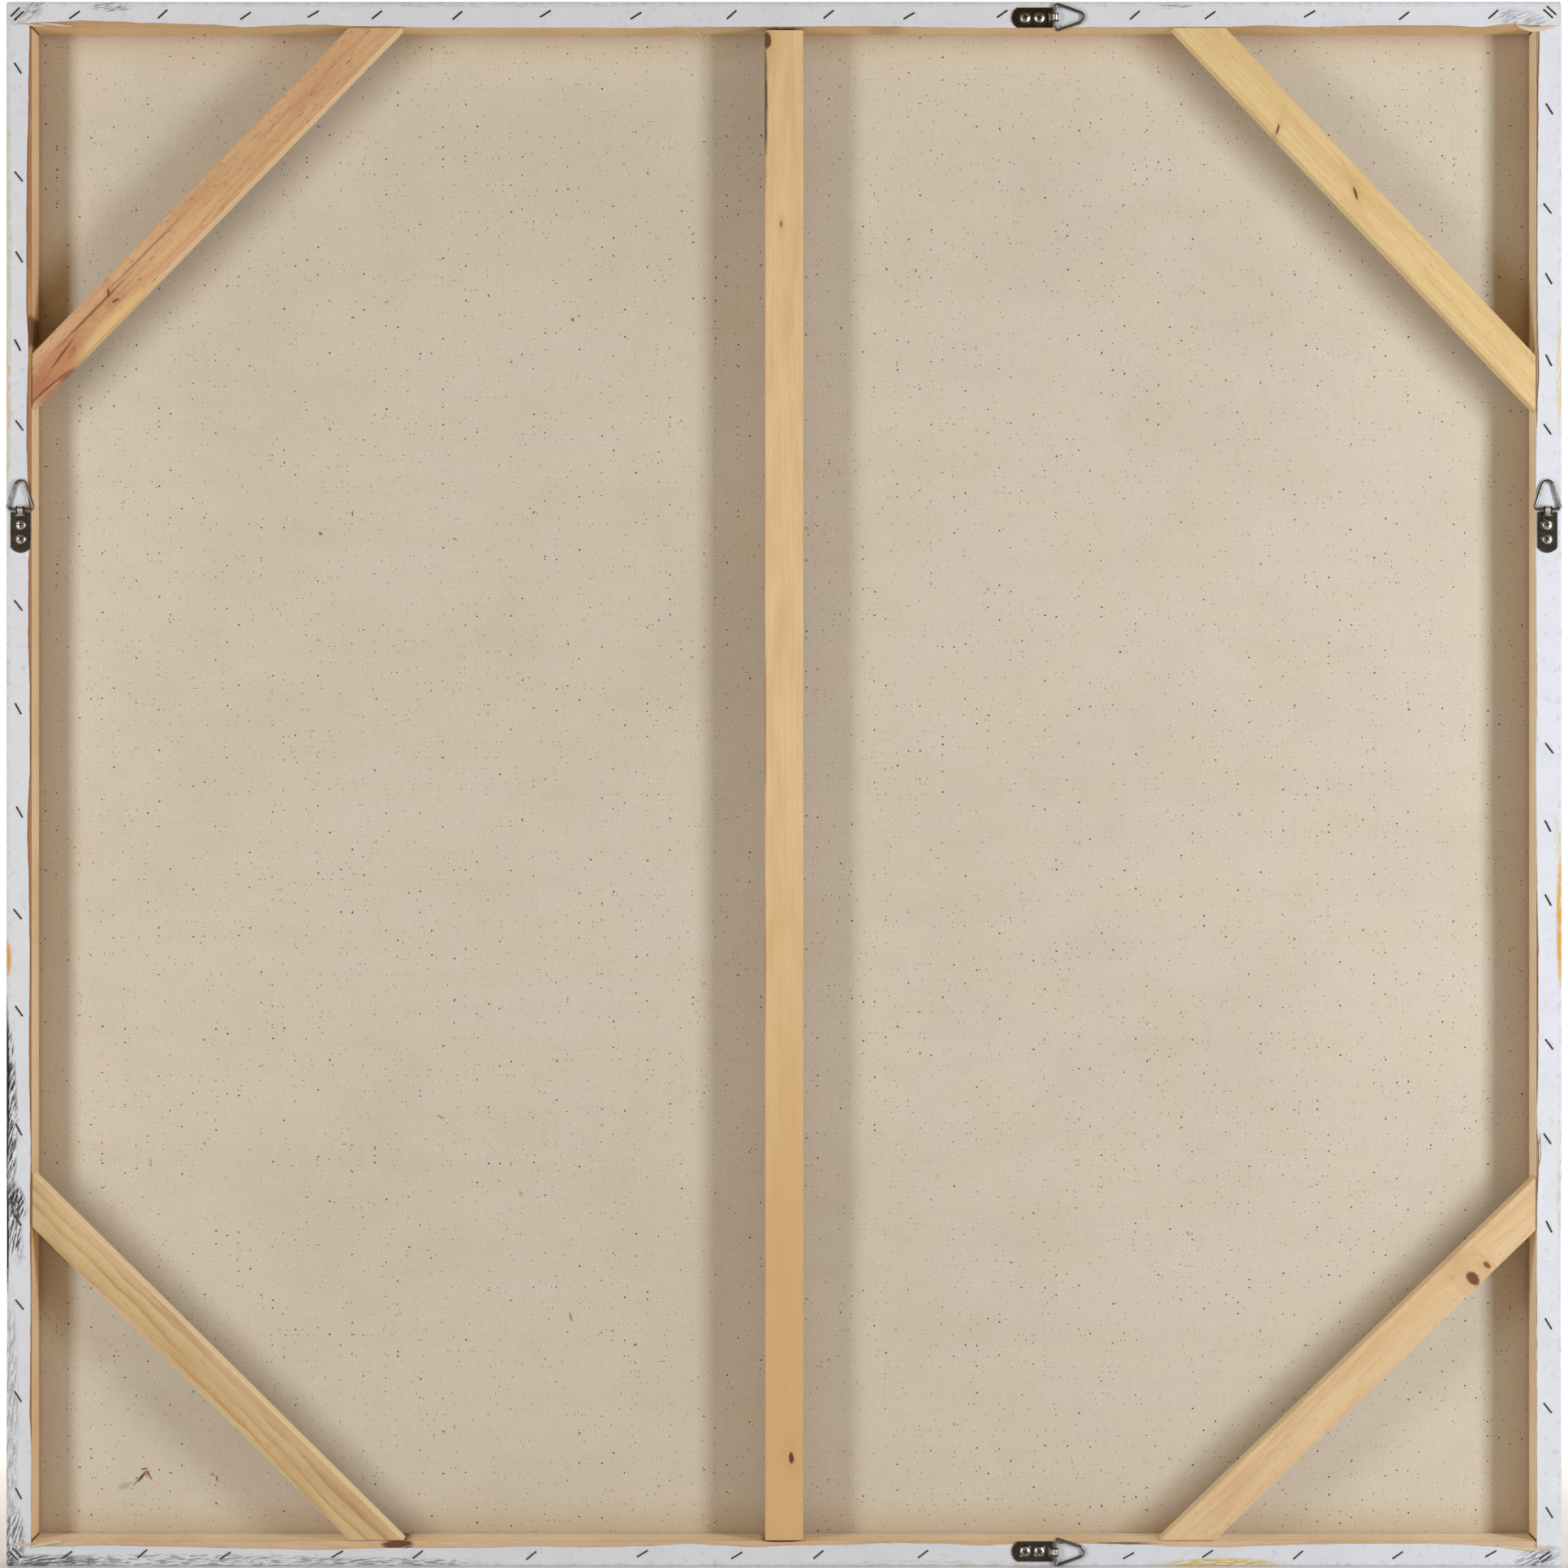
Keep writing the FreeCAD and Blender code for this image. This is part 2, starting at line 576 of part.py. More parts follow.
def staple_master():
    """A staple lying on the cloth: crown along X, legs running into the wood along +Y."""
    body = new_body("staple")
    outer = "Dims.crown / 2"
    inner = "(Dims.crown / 2 - Dims.staple_sheet)"
    profile = new_sketch(body, "staple_profile", "XY_Plane")
    outline(profile, [
        (f"-{outer}", "-Dims.staple_sheet"),
        (outer, "-Dims.staple_sheet"),
        (outer, "Dims.staple_leg"),
        (inner, "Dims.staple_leg"),
        (inner, "0"),
        (f"-{inner}", "0"),
        (f"-{inner}", "Dims.staple_leg"),
        (f"-{outer}", "Dims.staple_leg"),
    ])
    blank = pad(body, "staple_pad", profile, "Dims.staple_width", symmetric=True)
    dress(body, "staple_bends", "Fillet", blank, "Dims.staple_sheet * 0.9", lambda edge, middle: (
        runs_along(edge, Z_AXIS) and middle.y < -TOLERANCE))
    return body


def nail_master():
    """A nail along +Z whose head is level with the bar's outer face."""
    shank = doc.addObject("Part::Cylinder", "nail_shank")
    bind(shank, Radius="Dims.nail_radius", Height="Dims.nail_length")
    head = doc.addObject("Part::Cylinder", "nail_head")
    bind(head, Radius="Dims.nail_head_radius", Height="Dims.nail_head_height")
    nail = doc.addObject("Part::Fuse", "brace_nail")
    nail.Base = shank
    nail.Tool = head
    doc.recompute()
    return nail


def wedge_master():
    """A V-shaped sheet fastener, its two arms opening along +X and its depth along +Y."""
    body = new_body("mitre_fastener")
    profile = new_sketch(body, "wedge_profile", "XZ_Plane", "-Dims.wedge_depth")
    outline(profile, [
        ("0", "0"),
        ("Dims.wedge_arm", "Dims.wedge_arm"),
        ("Dims.wedge_arm - Dims.wedge_sheet", "Dims.wedge_arm + Dims.wedge_sheet"),
        ("-2 * Dims.wedge_sheet", "0"),
        ("Dims.wedge_arm - Dims.wedge_sheet", "-Dims.wedge_arm - Dims.wedge_sheet"),
        ("Dims.wedge_arm", "-Dims.wedge_arm"),
    ])
    pad(body, "wedge_pad", profile, "Dims.wedge_depth")
    return body


def group(label, master, placements):
    """Copies of one fastener, kept as separate solids in one node."""
    copies = []
    for placement in placements:
        copy = master.Shape.copy()
        copy.Placement = placement.multiply(copy.Placement)
        copies.append(copy)
    node = doc.addObject("Part::Feature", label)
    node.Label = label
    node.Shape = Part.makeCompound(copies)
    nodes.append(node)


def turned_in_face(degrees):
    """A turn within the back face, anticlockwise as the back is looked at."""
    return Rotation(Vector(0, -1, 0), degrees)


def hanger_screws(master):
    for side in ("left", "right", "top", "bottom"):
        spots = []
        for number in range(2):
            station = value("Dims.first_hole") + number * value("Dims.hole_pitch")
            local = Placement(Vector(0, 0, -station), turned_in_face(SCREW_STOPS[side][number]))
            spots.append(hanger_placement(side).multiply(local))
        group(f"hanger_screws_{side}", master, spots)


def staples(master):
    back = -value("Dims.bar_depth / 2 + Dims.cloth")
    half = value("Dims.canvas_width / 2")
    height = value("Dims.canvas_height")
    rows = {"top": TOP_STAPLES, "bottom": BOTTOM_STAPLES, "left": LEFT_STAPLES, "right": RIGHT_STAPLES}
    for side, stations in rows.items():
        spots = []
        for number, station in enumerate(stations):
            stray = math.sin(number * STAPLE_STRAY_STEP + len(side))
            inset = STAPLE_INSETS[side] + STAPLE_STRAY * stray
            scatter = math.sin(number * STAPLE_SCATTER_STEP)
            turn = turned_in_face(STAPLE_TURNS[side] + STAPLE_SCATTER * scatter)
            base = {
                "top": Vector(station, back, height - inset),
                "bottom": Vector(station, back, inset),
                "left": Vector(-half + inset, back, height / 2 + station),
                "right": Vector(half - inset, back, height / 2 + station),
            }[side]
            spots.append(Placement(base, turn))
        group(f"staples_{side}", master, spots)
    spots = []
    over_fold = back - value("Dims.cloth")
    for (side, level), (*pair, turn) in CORNER_STAPLES.items():
        for across, along in pair:
            base = Vector(side * (half - across), over_fold, height - along if level > 0 else along)
            spots.append(Placement(base, turned_in_face(turn)))
    group("staples_corners", master, spots)


def brace_nails(master):
    """Hidden nails through the bars into the braces' ends, two at each end of the centre brace."""
    depth = -value("Dims.bar_depth / 2 - Dims.brace_depth / 2")
    half = value("Dims.canvas_width / 2 - Dims.cloth")
    low = value("Dims.cloth")
    high = value("Dims.canvas_height - Dims.cloth")
    rim = value("Dims.cloth + Dims.bar_width")
    up = Rotation()
    down = Rotation(X_AXIS, 180)
    spots = []
    for offset in (-value("Dims.nail_offset"), value("Dims.nail_offset")):
        spots.append(Placement(Vector(offset, depth, low), up))
        spots.append(Placement(Vector(offset, depth, high), down))
    for corner, (side, level) in CORNERS.items():
        across = value(f"Dims.canvas_width / 2 - Dims.cloth - Dims.bar_width - Dims.{corner}_across")
        along = rim + value(f"Dims.{corner}_down")
        inwards = Rotation(Z_AXIS, Vector(-side, 0, 0))
        spots.append(Placement(Vector(side * across, depth, high if level > 0 else low),
                               down if level > 0 else up))
        level_of_end = high + low - along if level > 0 else along
        spots.append(Placement(Vector(side * half, depth, level_of_end), inwards))
    group("brace_nails", master, spots)


def mitre_fasteners(master):
    """Two hidden V fasteners across each mitre, driven from the back under the folded cloth."""
    back = -value("Dims.bar_depth / 2")
    half = value("Dims.canvas_width / 2 - Dims.cloth")
    low = value("Dims.cloth")
    high = value("Dims.canvas_height - Dims.cloth")
    spots = []
    for side, level in CORNERS.values():
        for step in (value("Dims.first_wedge"), value("Dims.first_wedge + Dims.wedge_pitch")):
            base = Vector(side * (half - step), back, high - step if level > 0 else low + step)
            inward = Vector(-side, 0, -level)
            spots.append(Placement(base, Rotation(X_AXIS, inward)))
    group("mitre_fasteners", master, spots)


def build():
    for side in BAR_TURNS:
        stretcher_bar(side)
    centre_brace()
    for corner in CORNERS:
        corner_brace(corner)
    canvas()
    for side in ("left", "right", "top", "bottom"):
        hanger_strap(side)
        d_ring(side)
    doc.recompute()
    hanger_screws(screw_master())
    staples(staple_master())
    brace_nails(nail_master())
    mitre_fasteners(wedge_master())
    doc.recompute()


def check():
    """Stop before anything is written if a feature failed or a node's shape isn't sound."""
    for item in doc.Objects:
        if "Invalid" in item.State or "Error" in item.State:
            raise RuntimeError(f"{item.Label} is {item.State}")
    for node in nodes:
        if node.Shape.isNull() or not node.Shape.isValid():
            raise RuntimeError(f"{node.Label} has no sound shape")


def write():
    os.makedirs("parts", exist_ok=True)
    for node in nodes:
        node.Shape.exportStep(f"parts/{node.Label}.step")
        box = node.Shape.BoundBox
        print(f"{node.Label}: {len(node.Shape.Solids)} solids, {node.Shape.Volume:.1f} mm3,"
              f" x {box.XMin:.2f}..{box.XMax:.2f}, y {box.YMin:.2f}..{box.YMax:.2f},"
              f" z {box.ZMin:.2f}..{box.ZMax:.2f}")


build()
check()
write()
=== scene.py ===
import math
import random

import bmesh
import bpy
import numpy as np
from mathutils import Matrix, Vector, noise


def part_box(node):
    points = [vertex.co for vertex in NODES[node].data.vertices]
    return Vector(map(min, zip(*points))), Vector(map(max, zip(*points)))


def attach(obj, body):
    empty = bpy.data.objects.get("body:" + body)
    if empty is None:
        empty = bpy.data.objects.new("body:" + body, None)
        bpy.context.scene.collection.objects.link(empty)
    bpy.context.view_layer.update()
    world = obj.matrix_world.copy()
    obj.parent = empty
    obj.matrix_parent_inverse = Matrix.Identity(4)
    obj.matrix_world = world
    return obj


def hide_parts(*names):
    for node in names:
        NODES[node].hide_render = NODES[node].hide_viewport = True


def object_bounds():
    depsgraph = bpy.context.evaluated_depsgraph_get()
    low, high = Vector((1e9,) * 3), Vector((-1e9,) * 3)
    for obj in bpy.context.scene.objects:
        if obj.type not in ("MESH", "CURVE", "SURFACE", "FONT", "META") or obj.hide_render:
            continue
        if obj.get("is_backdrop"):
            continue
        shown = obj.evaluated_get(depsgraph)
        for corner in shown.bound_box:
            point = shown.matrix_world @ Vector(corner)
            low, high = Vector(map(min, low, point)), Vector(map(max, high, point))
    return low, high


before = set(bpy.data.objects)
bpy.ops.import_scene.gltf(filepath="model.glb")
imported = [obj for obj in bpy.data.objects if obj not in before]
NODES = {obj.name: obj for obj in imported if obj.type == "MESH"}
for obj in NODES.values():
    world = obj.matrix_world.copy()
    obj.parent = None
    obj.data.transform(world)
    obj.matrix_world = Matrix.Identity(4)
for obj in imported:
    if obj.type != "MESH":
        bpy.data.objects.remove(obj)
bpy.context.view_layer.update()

# Metres, in the CAD frame: +X right and +Z up as the open back is looked at, the back faces -Y.

CLOTH_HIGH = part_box("canvas")[1]
BAR_LOW, BAR_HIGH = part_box("stretcher_bar_bottom")
MM = 0.001
HALF = CLOTH_HIGH.x
TOP = CLOTH_HIGH.z
MIDDLE = TOP / 2
FRONT = CLOTH_HIGH.y
BACK = -FRONT
CLOTH = FRONT - BAR_HIGH.y
BAR_WIDTH = BAR_HIGH.z - BAR_LOW.z
RIM = CLOTH + BAR_WIDTH

CORNER_RADIUS = 2.3 * MM
CORNER_STEPS = 6
WRAP_RADIUS = 0.9 * MM
WRAP_STEPS = 3
WALL_STEPS = 12
EDGE_STEP = 2.5 * MM
PANEL_STEP = 12.5 * MM


# ---------------------------------------------------------------- shader graphs

class Graph:
    """A short way to write a material's nodes."""

    def __init__(self, name):
        self.material = bpy.data.materials.new(name)
        self.material.use_nodes = True
        self.tree = self.material.node_tree
        self.tree.nodes.clear()
        self.shader = self.tree.nodes.new("ShaderNodeBsdfPrincipled")
        output = self.tree.nodes.new("ShaderNodeOutputMaterial")
        self.tree.links.new(self.shader.outputs["BSDF"], output.inputs["Surface"])

    def plug(self, socket, value):
        if isinstance(value, bpy.types.NodeSocket):
            self.tree.links.new(value, socket)
        else:
            socket.default_value = value

    def node(self, kind, output=0, inputs=None, **settings):
        made = self.tree.nodes.new(kind)
        for name, setting in settings.items():
            setattr(made, name, setting)
        for key, value in (inputs or {}).items():
            self.plug(made.inputs[key], value)
        return made.outputs[output]

    def math(self, operation, *values):
        made = self.tree.nodes.new("ShaderNodeMath")
        made.operation = operation
        for socket, value in zip(made.inputs, values):
            self.plug(socket, value)
        return made.outputs[0]

    def add(self, a, b):
        return self.math("ADD", a, b)

    def sub(self, a, b):
        return self.math("SUBTRACT", a, b)

    def mul(self, a, b):
        return self.math("MULTIPLY", a, b)

    def point(self):
        """Object coordinates, which are the frame's, in millimetres."""
        spot = self.node("ShaderNodeTexCoord", "Object")
        return self.node("ShaderNodeVectorMath", inputs={0: spot, 3: 1000.0}, operation="SCALE")

    def split(self, vector):
        made = self.tree.nodes.new("ShaderNodeSeparateXYZ")
        self.plug(made.inputs[0], vector)
        return made.outputs[0], made.outputs[1], made.outputs[2]

    def join(self, x, y, z):
        return self.node("ShaderNodeCombineXYZ", inputs={0: x, 1: y, 2: z})

    def dot(self, vector, axis):
        return self.node("ShaderNodeVectorMath", "Value", inputs={0: vector, 1: axis},
                         operation="DOT_PRODUCT")

    def noise(self, vector, scale=1.0, detail=3.0, rough=0.5):
        return self.node("ShaderNodeTexNoise", "Fac", inputs={
            "Vector": vector, "Scale": scale, "Detail": detail, "Roughness": rough})

    def range(self, value, low, high, to_low=0.0, to_high=1.0, smooth=True):
        return self.node("ShaderNodeMapRange", 0, inputs={
            0: value, 1: low, 2: high, 3: to_low, 4: to_high},
            interpolation_type="SMOOTHSTEP" if smooth else "LINEAR")

    def mix(self, share, a, b):
        made = self.tree.nodes.new("ShaderNodeMix")
        made.data_type = "RGBA"
        self.plug(made.inputs[0], share)
        self.plug(made.inputs[6], a if isinstance(a, bpy.types.NodeSocket) else linear(a))
        self.plug(made.inputs[7], b if isinstance(b, bpy.types.NodeSocket) else linear(b))
        return made.outputs[2]

    def bump(self, height, distance, strength=1.0):
        made = self.tree.nodes.new("ShaderNodeBump")
        self.plug(made.inputs["Height"], height)
        made.inputs["Distance"].default_value = distance
        made.inputs["Strength"].default_value = strength
        return made.outputs[0]

    def finish(self, colour, roughness, normal=None, metallic=0.0, specular=0.5):
        self.plug(self.shader.inputs["Base Color"], colour)
        self.plug(self.shader.inputs["Roughness"], roughness)
        self.plug(self.shader.inputs["Metallic"], metallic)
        self.shader.inputs["Specular IOR Level"].default_value = specular
        if normal is not None:
            self.plug(self.shader.inputs["Normal"], normal)
        return self.material


def linear(colour):
    """A display colour of 0 to 255 a channel as the shader's own colour."""
    parts = []
    for channel in colour[:3]:
        share = channel / 255
        parts.append(share / 12.92 if share <= 0.04045 else ((share + 0.055) / 1.055) ** 2.4)
    return (*parts, 1.0)


def blot(graph, x, z, centre, size, turn=0.0, soft=0.25, wobble=0.0, grain=None):
    """A soft-edged ellipse, 1 inside and 0 outside, in millimetres on the plane of the back."""
    cosine, sine = math.cos(turn), math.sin(turn)
    across = graph.sub(x, centre[0])
    up = graph.sub(z, centre[1])
    along = graph.add(graph.mul(across, cosine / size[0]), graph.mul(up, sine / size[0]))
    off = graph.add(graph.mul(across, -sine / size[1]), graph.mul(up, cosine / size[1]))
    reach = graph.math("SQRT", graph.add(graph.mul(along, along), graph.mul(off, off)))
    if grain is not None:
        reach = graph.add(reach, graph.mul(graph.sub(grain, 0.5), wobble))
    return graph.range(reach, 1.0 - soft, 1.0 + soft, 1.0, 0.0)


# ---------------------------------------------------------------- wood

def pine(name, axis, pale, late, pith, spacing, contrast=0.5, centre=(0.0, 0.0), knots=(), stains=(),
         seed=0.0, rough=0.68, dashes=0.35, sides=0.0, lip=0.0, fade=None, drift=26.0):
    """Planed pine with its grain along axis. pith is how far the tree's middle lies across and behind
    the piece; knots are (place, size, turn, colour); stains are (place, size, turn, colour, strength).
    sides lightens the long side faces of a piece as a painted highlight, as if the softboxes lit them more;
    lip darkens a brown strip along a bar's back edge, and fade is the colour that the piece turns to, with
    the places along it where that starts and ends; drift is how far the grain wanders sideways along the
    piece."""
    g = Graph(name)
    p = g.point()
    x, y, z = g.split(p)
    length = Vector(axis).normalized()
    side = Vector((-length.z, 0.0, length.x))
    shifted = g.node("ShaderNodeVectorMath", inputs={0: p, 1: (-centre[0], 0.0, -centre[1])}, operation="ADD")
    along = g.dot(shifted, tuple(length))
    across = g.dot(shifted, tuple(side))
    deep = y
    slow = g.noise(g.join(g.mul(along, 0.004), g.mul(across, 0.02), seed), detail=1.0)
    wander = g.noise(g.join(g.mul(along, 0.018), g.mul(across, 0.06), seed + 3.1), detail=2.0)
    u = g.add(g.sub(across, pith[0]), g.mul(g.sub(slow, 0.5), drift))
    v = g.add(g.sub(deep, pith[1]), g.mul(g.sub(wander, 0.5), drift * 0.19))
    ring = g.math("SQRT", g.add(g.mul(u, u), g.mul(v, v)))
    fuzz = g.noise(g.join(g.mul(along, 0.07), g.mul(across, 0.9), g.mul(deep, 0.9)), detail=2.0)
    ring = g.add(ring, g.mul(g.sub(fuzz, 0.5), 0.9))
    knot_shades = []
    for place, size, turn, colour in knots:
        near = blot(g, x, z, place, (size[0] * 3.2, size[1] * 3.2), turn, soft=0.75)
        ring = g.add(ring, g.mul(near, size[1] * 1.1))
        knot_shades.append((blot(g, x, z, place, size, turn, 0.22, 0.7, fuzz), colour, near))
    phase = g.math("FRACT", g.math("DIVIDE", ring, spacing))
    band = g.math("POWER", phase, 2.6)
    fall = g.range(phase, 0.93, 1.0, 1.0, 0.0)
    dark = g.mul(band, fall)
    strength = g.range(g.noise(g.join(g.mul(along, 0.01), g.mul(across, 0.14), seed + 7.7), detail=2.0),
                       0.3, 0.72, 0.25, 1.0)
    colour = g.mix(g.mul(g.mul(dark, strength), contrast), pale, late)
    fibre = g.noise(g.join(g.mul(along, 0.09), g.mul(across, 3.2), g.mul(deep, 3.2)), detail=3.0, rough=0.62)
    colour = g.mix(g.range(fibre, 0.3, 0.7, 0.0, 0.26, smooth=False), colour, late)
    cloud = g.noise(g.join(g.mul(along, 0.012), g.mul(across, 0.07), seed + 11.0), detail=2.0)
    colour = g.mix(g.range(cloud, 0.36, 0.72, 0.0, 0.34), colour, late)
    shade = [channel * 0.56 for channel in late]
    for number, (stretch, width) in enumerate(((0.11, 1.0), (0.2, 1.7))):
        dash = g.noise(g.join(g.mul(along, stretch), g.mul(across, width),
                              g.add(g.mul(deep, width), seed + 19.0 + 5 * number)), detail=1.0)
        colour = g.mix(g.range(dash, 0.69, 0.735, 0.0, dashes), colour, shade)
    if fade is not None:
        tone, first, last = fade
        colour = g.mix(g.range(along, first, last, 0.0, 0.8), colour, tone)
    facing = g.math("ABSOLUTE", g.dot(g.node("ShaderNodeNewGeometry", "Normal"), tuple(side)))
    # Painted highlight: the faces along the grain's side are lightened as if lit by the softboxes.
    if sides:
        colour = g.mix(g.mul(g.range(facing, 0.35, 0.85), sides), colour, (250, 226, 184))
    if lip:
        rough_lip = g.add(y, g.mul(g.sub(fuzz, 0.5), 1.2))
        colour = g.mix(g.mul(g.range(rough_lip, -17.6, -18.4), lip), colour, (148, 92, 52))
    for mask, knot_colour, near in knot_shades:
        colour = g.mix(g.mul(near, 0.35), colour, late)
        colour = g.mix(g.mul(mask, 0.94), colour, knot_colour)
    for place, size, turn, stain, amount in stains:
        mask = blot(g, x, z, place, size, turn, 0.55, 1.3, g.noise(
            g.join(g.mul(along, 0.06), g.mul(across, 0.5), seed), detail=3.0))
        colour = g.mix(g.mul(mask, amount), colour, stain)
    height = g.add(g.mul(fibre, 0.6), g.mul(dark, 0.4))
    normal = g.bump(height, 0.00012, 0.55)
    wear = g.range(fibre, 0.3, 0.7, rough - 0.08, rough + 0.1)
    return g.finish(colour, wear, normal, specular=0.28)


# ---------------------------------------------------------------- cloth materials

THREAD = 0.56


def weave(g, x, z):
    """Height of a plain weave, and its unevenness from thread to thread."""
    warp = g.math("SINE", g.mul(x, math.pi / THREAD))
    weft = g.math("SINE", g.mul(z, math.pi / THREAD))
    over = g.mul(warp, weft)
    lift = g.math("ABSOLUTE", over)
    uneven_warp = g.noise(g.join(g.mul(x, 1.7), g.mul(z, 0.035), 2.0), detail=2.0, rough=0.6)
    uneven_weft = g.noise(g.join(g.mul(x, 0.03), g.mul(z, 1.7), 9.0), detail=2.0, rough=0.6)
    return lift, uneven_warp, uneven_weft


def raw_cotton(name, base, dark, specks=True):
    g = Graph(name)
    x, _, z = g.split(g.point())
    lift, warp, weft = weave(g, x, z)
    threads = g.mul(g.add(warp, weft), 0.5)
    colour = g.mix(g.range(threads, 0.34, 0.66, 0.0, 0.30, smooth=False), base, dark)
    # Painted shade: the hollows between the threads are darkened.
    colour = g.mix(g.mul(g.sub(1.0, lift), 0.13), colour, dark)
    grit = g.noise(g.join(x, z, 0.0), scale=0.95, detail=2.5, rough=0.74)
    colour = g.mix(g.range(grit, 0.36, 0.66, 0.0, 0.40, smooth=False), colour, dark)
    cloud = g.noise(g.join(g.mul(x, 0.006), g.mul(z, 0.006), 4.4), detail=5.0, rough=0.62)
    colour = g.mix(g.range(cloud, 0.44, 0.70, 0.0, 0.15), colour, [c * 0.93 for c in dark])
    warm = g.noise(g.join(g.mul(x, 0.02), g.mul(z, 0.02), 14.4), detail=4.0, rough=0.6)
    colour = g.mix(g.range(warm, 0.46, 0.72, 0.0, 0.15), colour, (216, 190, 152))
    # Painted shade: within 30 mm of the bars the cloth turns warmer and darker, where the bars' shadows fall.
    gap = g.math("MINIMUM", g.sub(1000 * (HALF - RIM), g.math("ABSOLUTE", x)),
                 g.math("MINIMUM", g.sub(z, 1000 * RIM), g.sub(1000 * (TOP - RIM), z)))
    colour = g.mix(g.range(gap, 30.0, 0.0, 0.0, 0.36), colour, (188, 150, 108))
    bands = g.noise(g.join(g.mul(x, 0.003), g.mul(z, 0.05), 1.3), detail=2.0)
    colour = g.mix(g.range(bands, 0.4, 0.7, 0.0, 0.06), colour, dark)
    if specks:
        for pitch, seat, channel, largest, amount, stain in SPECKS:
            cells = g.tree.nodes.new("ShaderNodeTexVoronoi")
            cells.voronoi_dimensions = "2D"
            cells.inputs["Scale"].default_value = 1.0
            g.plug(cells.inputs["Vector"], g.join(g.add(g.mul(x, 1 / pitch), seat), g.mul(z, 1 / pitch), 0.0))
            pick = g.split(cells.outputs["Color"])[channel]
            size = g.range(pick, 0.72, 1.0, 0.0, largest / pitch, smooth=False)
            speck = g.range(g.sub(size, cells.outputs["Distance"]), 0.0, 0.12 / pitch)
            colour = g.mix(g.mul(speck, amount), colour, stain)
        for place, reach, turn, stain, amount in HUSKS:
            mask = blot(g, x, z, place, reach, turn, 0.35, 1.4, grit)
            colour = g.mix(g.mul(mask, amount), colour, stain)
    height = g.add(g.mul(lift, 0.7), g.mul(threads, 1.2))
    normal = g.bump(height, 0.0002, 0.6)
    g.shader.inputs["Sheen Weight"].default_value = 0.12
    g.shader.inputs["Sheen Roughness"].default_value = 0.6
    return g.finish(colour, 0.94, normal, specular=0.15)


# Seed specks spun into the cotton, in mm: pitch, seat, the random channel, largest radius, strength, colour.
SPECKS = [
    (9.0, 0.0, 0, 0.85, 0.95, (84, 66, 44)),
    (4.2, 31.0, 1, 0.62, 0.85, (104, 84, 58)),
    (2.3, 77.0, 2, 0.42, 0.60, (124, 102, 74)),
]

# Husks, knots and stray fibres on the raw cloth: place and size in mm, turn, colour and strength.
HUSKS = [
    ((-505.5, 67.0), (2.6, 1.9), 0.5, (176, 120, 52), 0.9),
    ((-509.5, 63.4), (4.2, 1.2), 0.9, (70, 58, 42), 0.9),
    ((-503.0, 65.0), (0.7, 4.2), 0.5, (92, 74, 50), 0.85),
    ((-507.0, 70.2), (2.8, 0.7), 0.2, (60, 48, 36), 0.8),
    ((-514.0, 59.0), (3.0, 0.6), 0.8, (112, 92, 62), 0.7),
    ((-523.0, 56.5), (5.0, 2.6), 0.3, (150, 126, 92), 0.4),
    ((-453.0, 65.5), (2.0, 0.9), 0.2, (150, 122, 84), 0.7),
    ((-449.5, 62.5), (0.7, 2.6), 0.3, (96, 78, 54), 0.8),
    ((-169.0, 190.5), (1.2, 3.6), 0.3, (150, 120, 88), 0.7),
    ((-118.0, 168.5), (1.6, 1.0), 0.4, (132, 84, 56), 0.75),
    ((-136.0, 179.5), (1.3, 0.8), 0.0, (140, 96, 66), 0.6),
    ((-367.5, 811.5), (1.3, 1.3), 0.0, (86, 76, 62), 0.8),
    ((-167.5, 981.0), (1.1, 1.5), 0.2, (92, 78, 60), 0.8),
    ((266.5, 717.5), (1.0, 1.0), 0.0, (80, 70, 58), 0.8),
    ((-323.0, 680.5), (0.9, 0.9), 0.0, (84, 74, 62), 0.7),
    ((-396.0, 419.5), (0.9, 0.9), 0.0, (90, 80, 66), 0.7),
    ((-272.0, 349.0), (3.2, 1.0), -0.4, (168, 136, 102), 0.7),
    ((-209.0, 288.5), (1.2, 2.2), 0.3, (164, 132, 98), 0.6),
    ((104.5, 1020.0), (0.9, 1.4), 0.2, (150, 92, 52), 0.7),
    ((361.0, 589.0), (1.0, 1.6), -0.3, (140, 110, 78), 0.7),
    ((320.0, 257.0), (1.2, 1.8), 0.5, (158, 128, 96), 0.6),
    ((-502.0, 313.0), (0.7, 4.0), 0.1, (158, 130, 98), 0.6),
]


def smear(g, x, y, z, place, size, turn, dryness, streak):
    """Paint dragged over the primed cloth: a blot broken up by the brush's hairs."""
    cosine, sine = math.cos(streak), math.sin(streak)
    along = g.add(g.mul(x, cosine), g.mul(z, sine))
    off = g.add(g.mul(x, -sine), g.mul(z, cosine))
    hairs = g.noise(g.join(g.mul(along, 0.10), g.mul(off, 0.85), g.mul(y, 0.5)), detail=4.0, rough=0.62)
    patch = blot(g, x, z, place, size, turn, 0.3, 0.9, hairs)
    edge = 0.34 + 0.3 * dryness
    return g.mul(patch, g.range(hairs, edge, edge + 0.03))


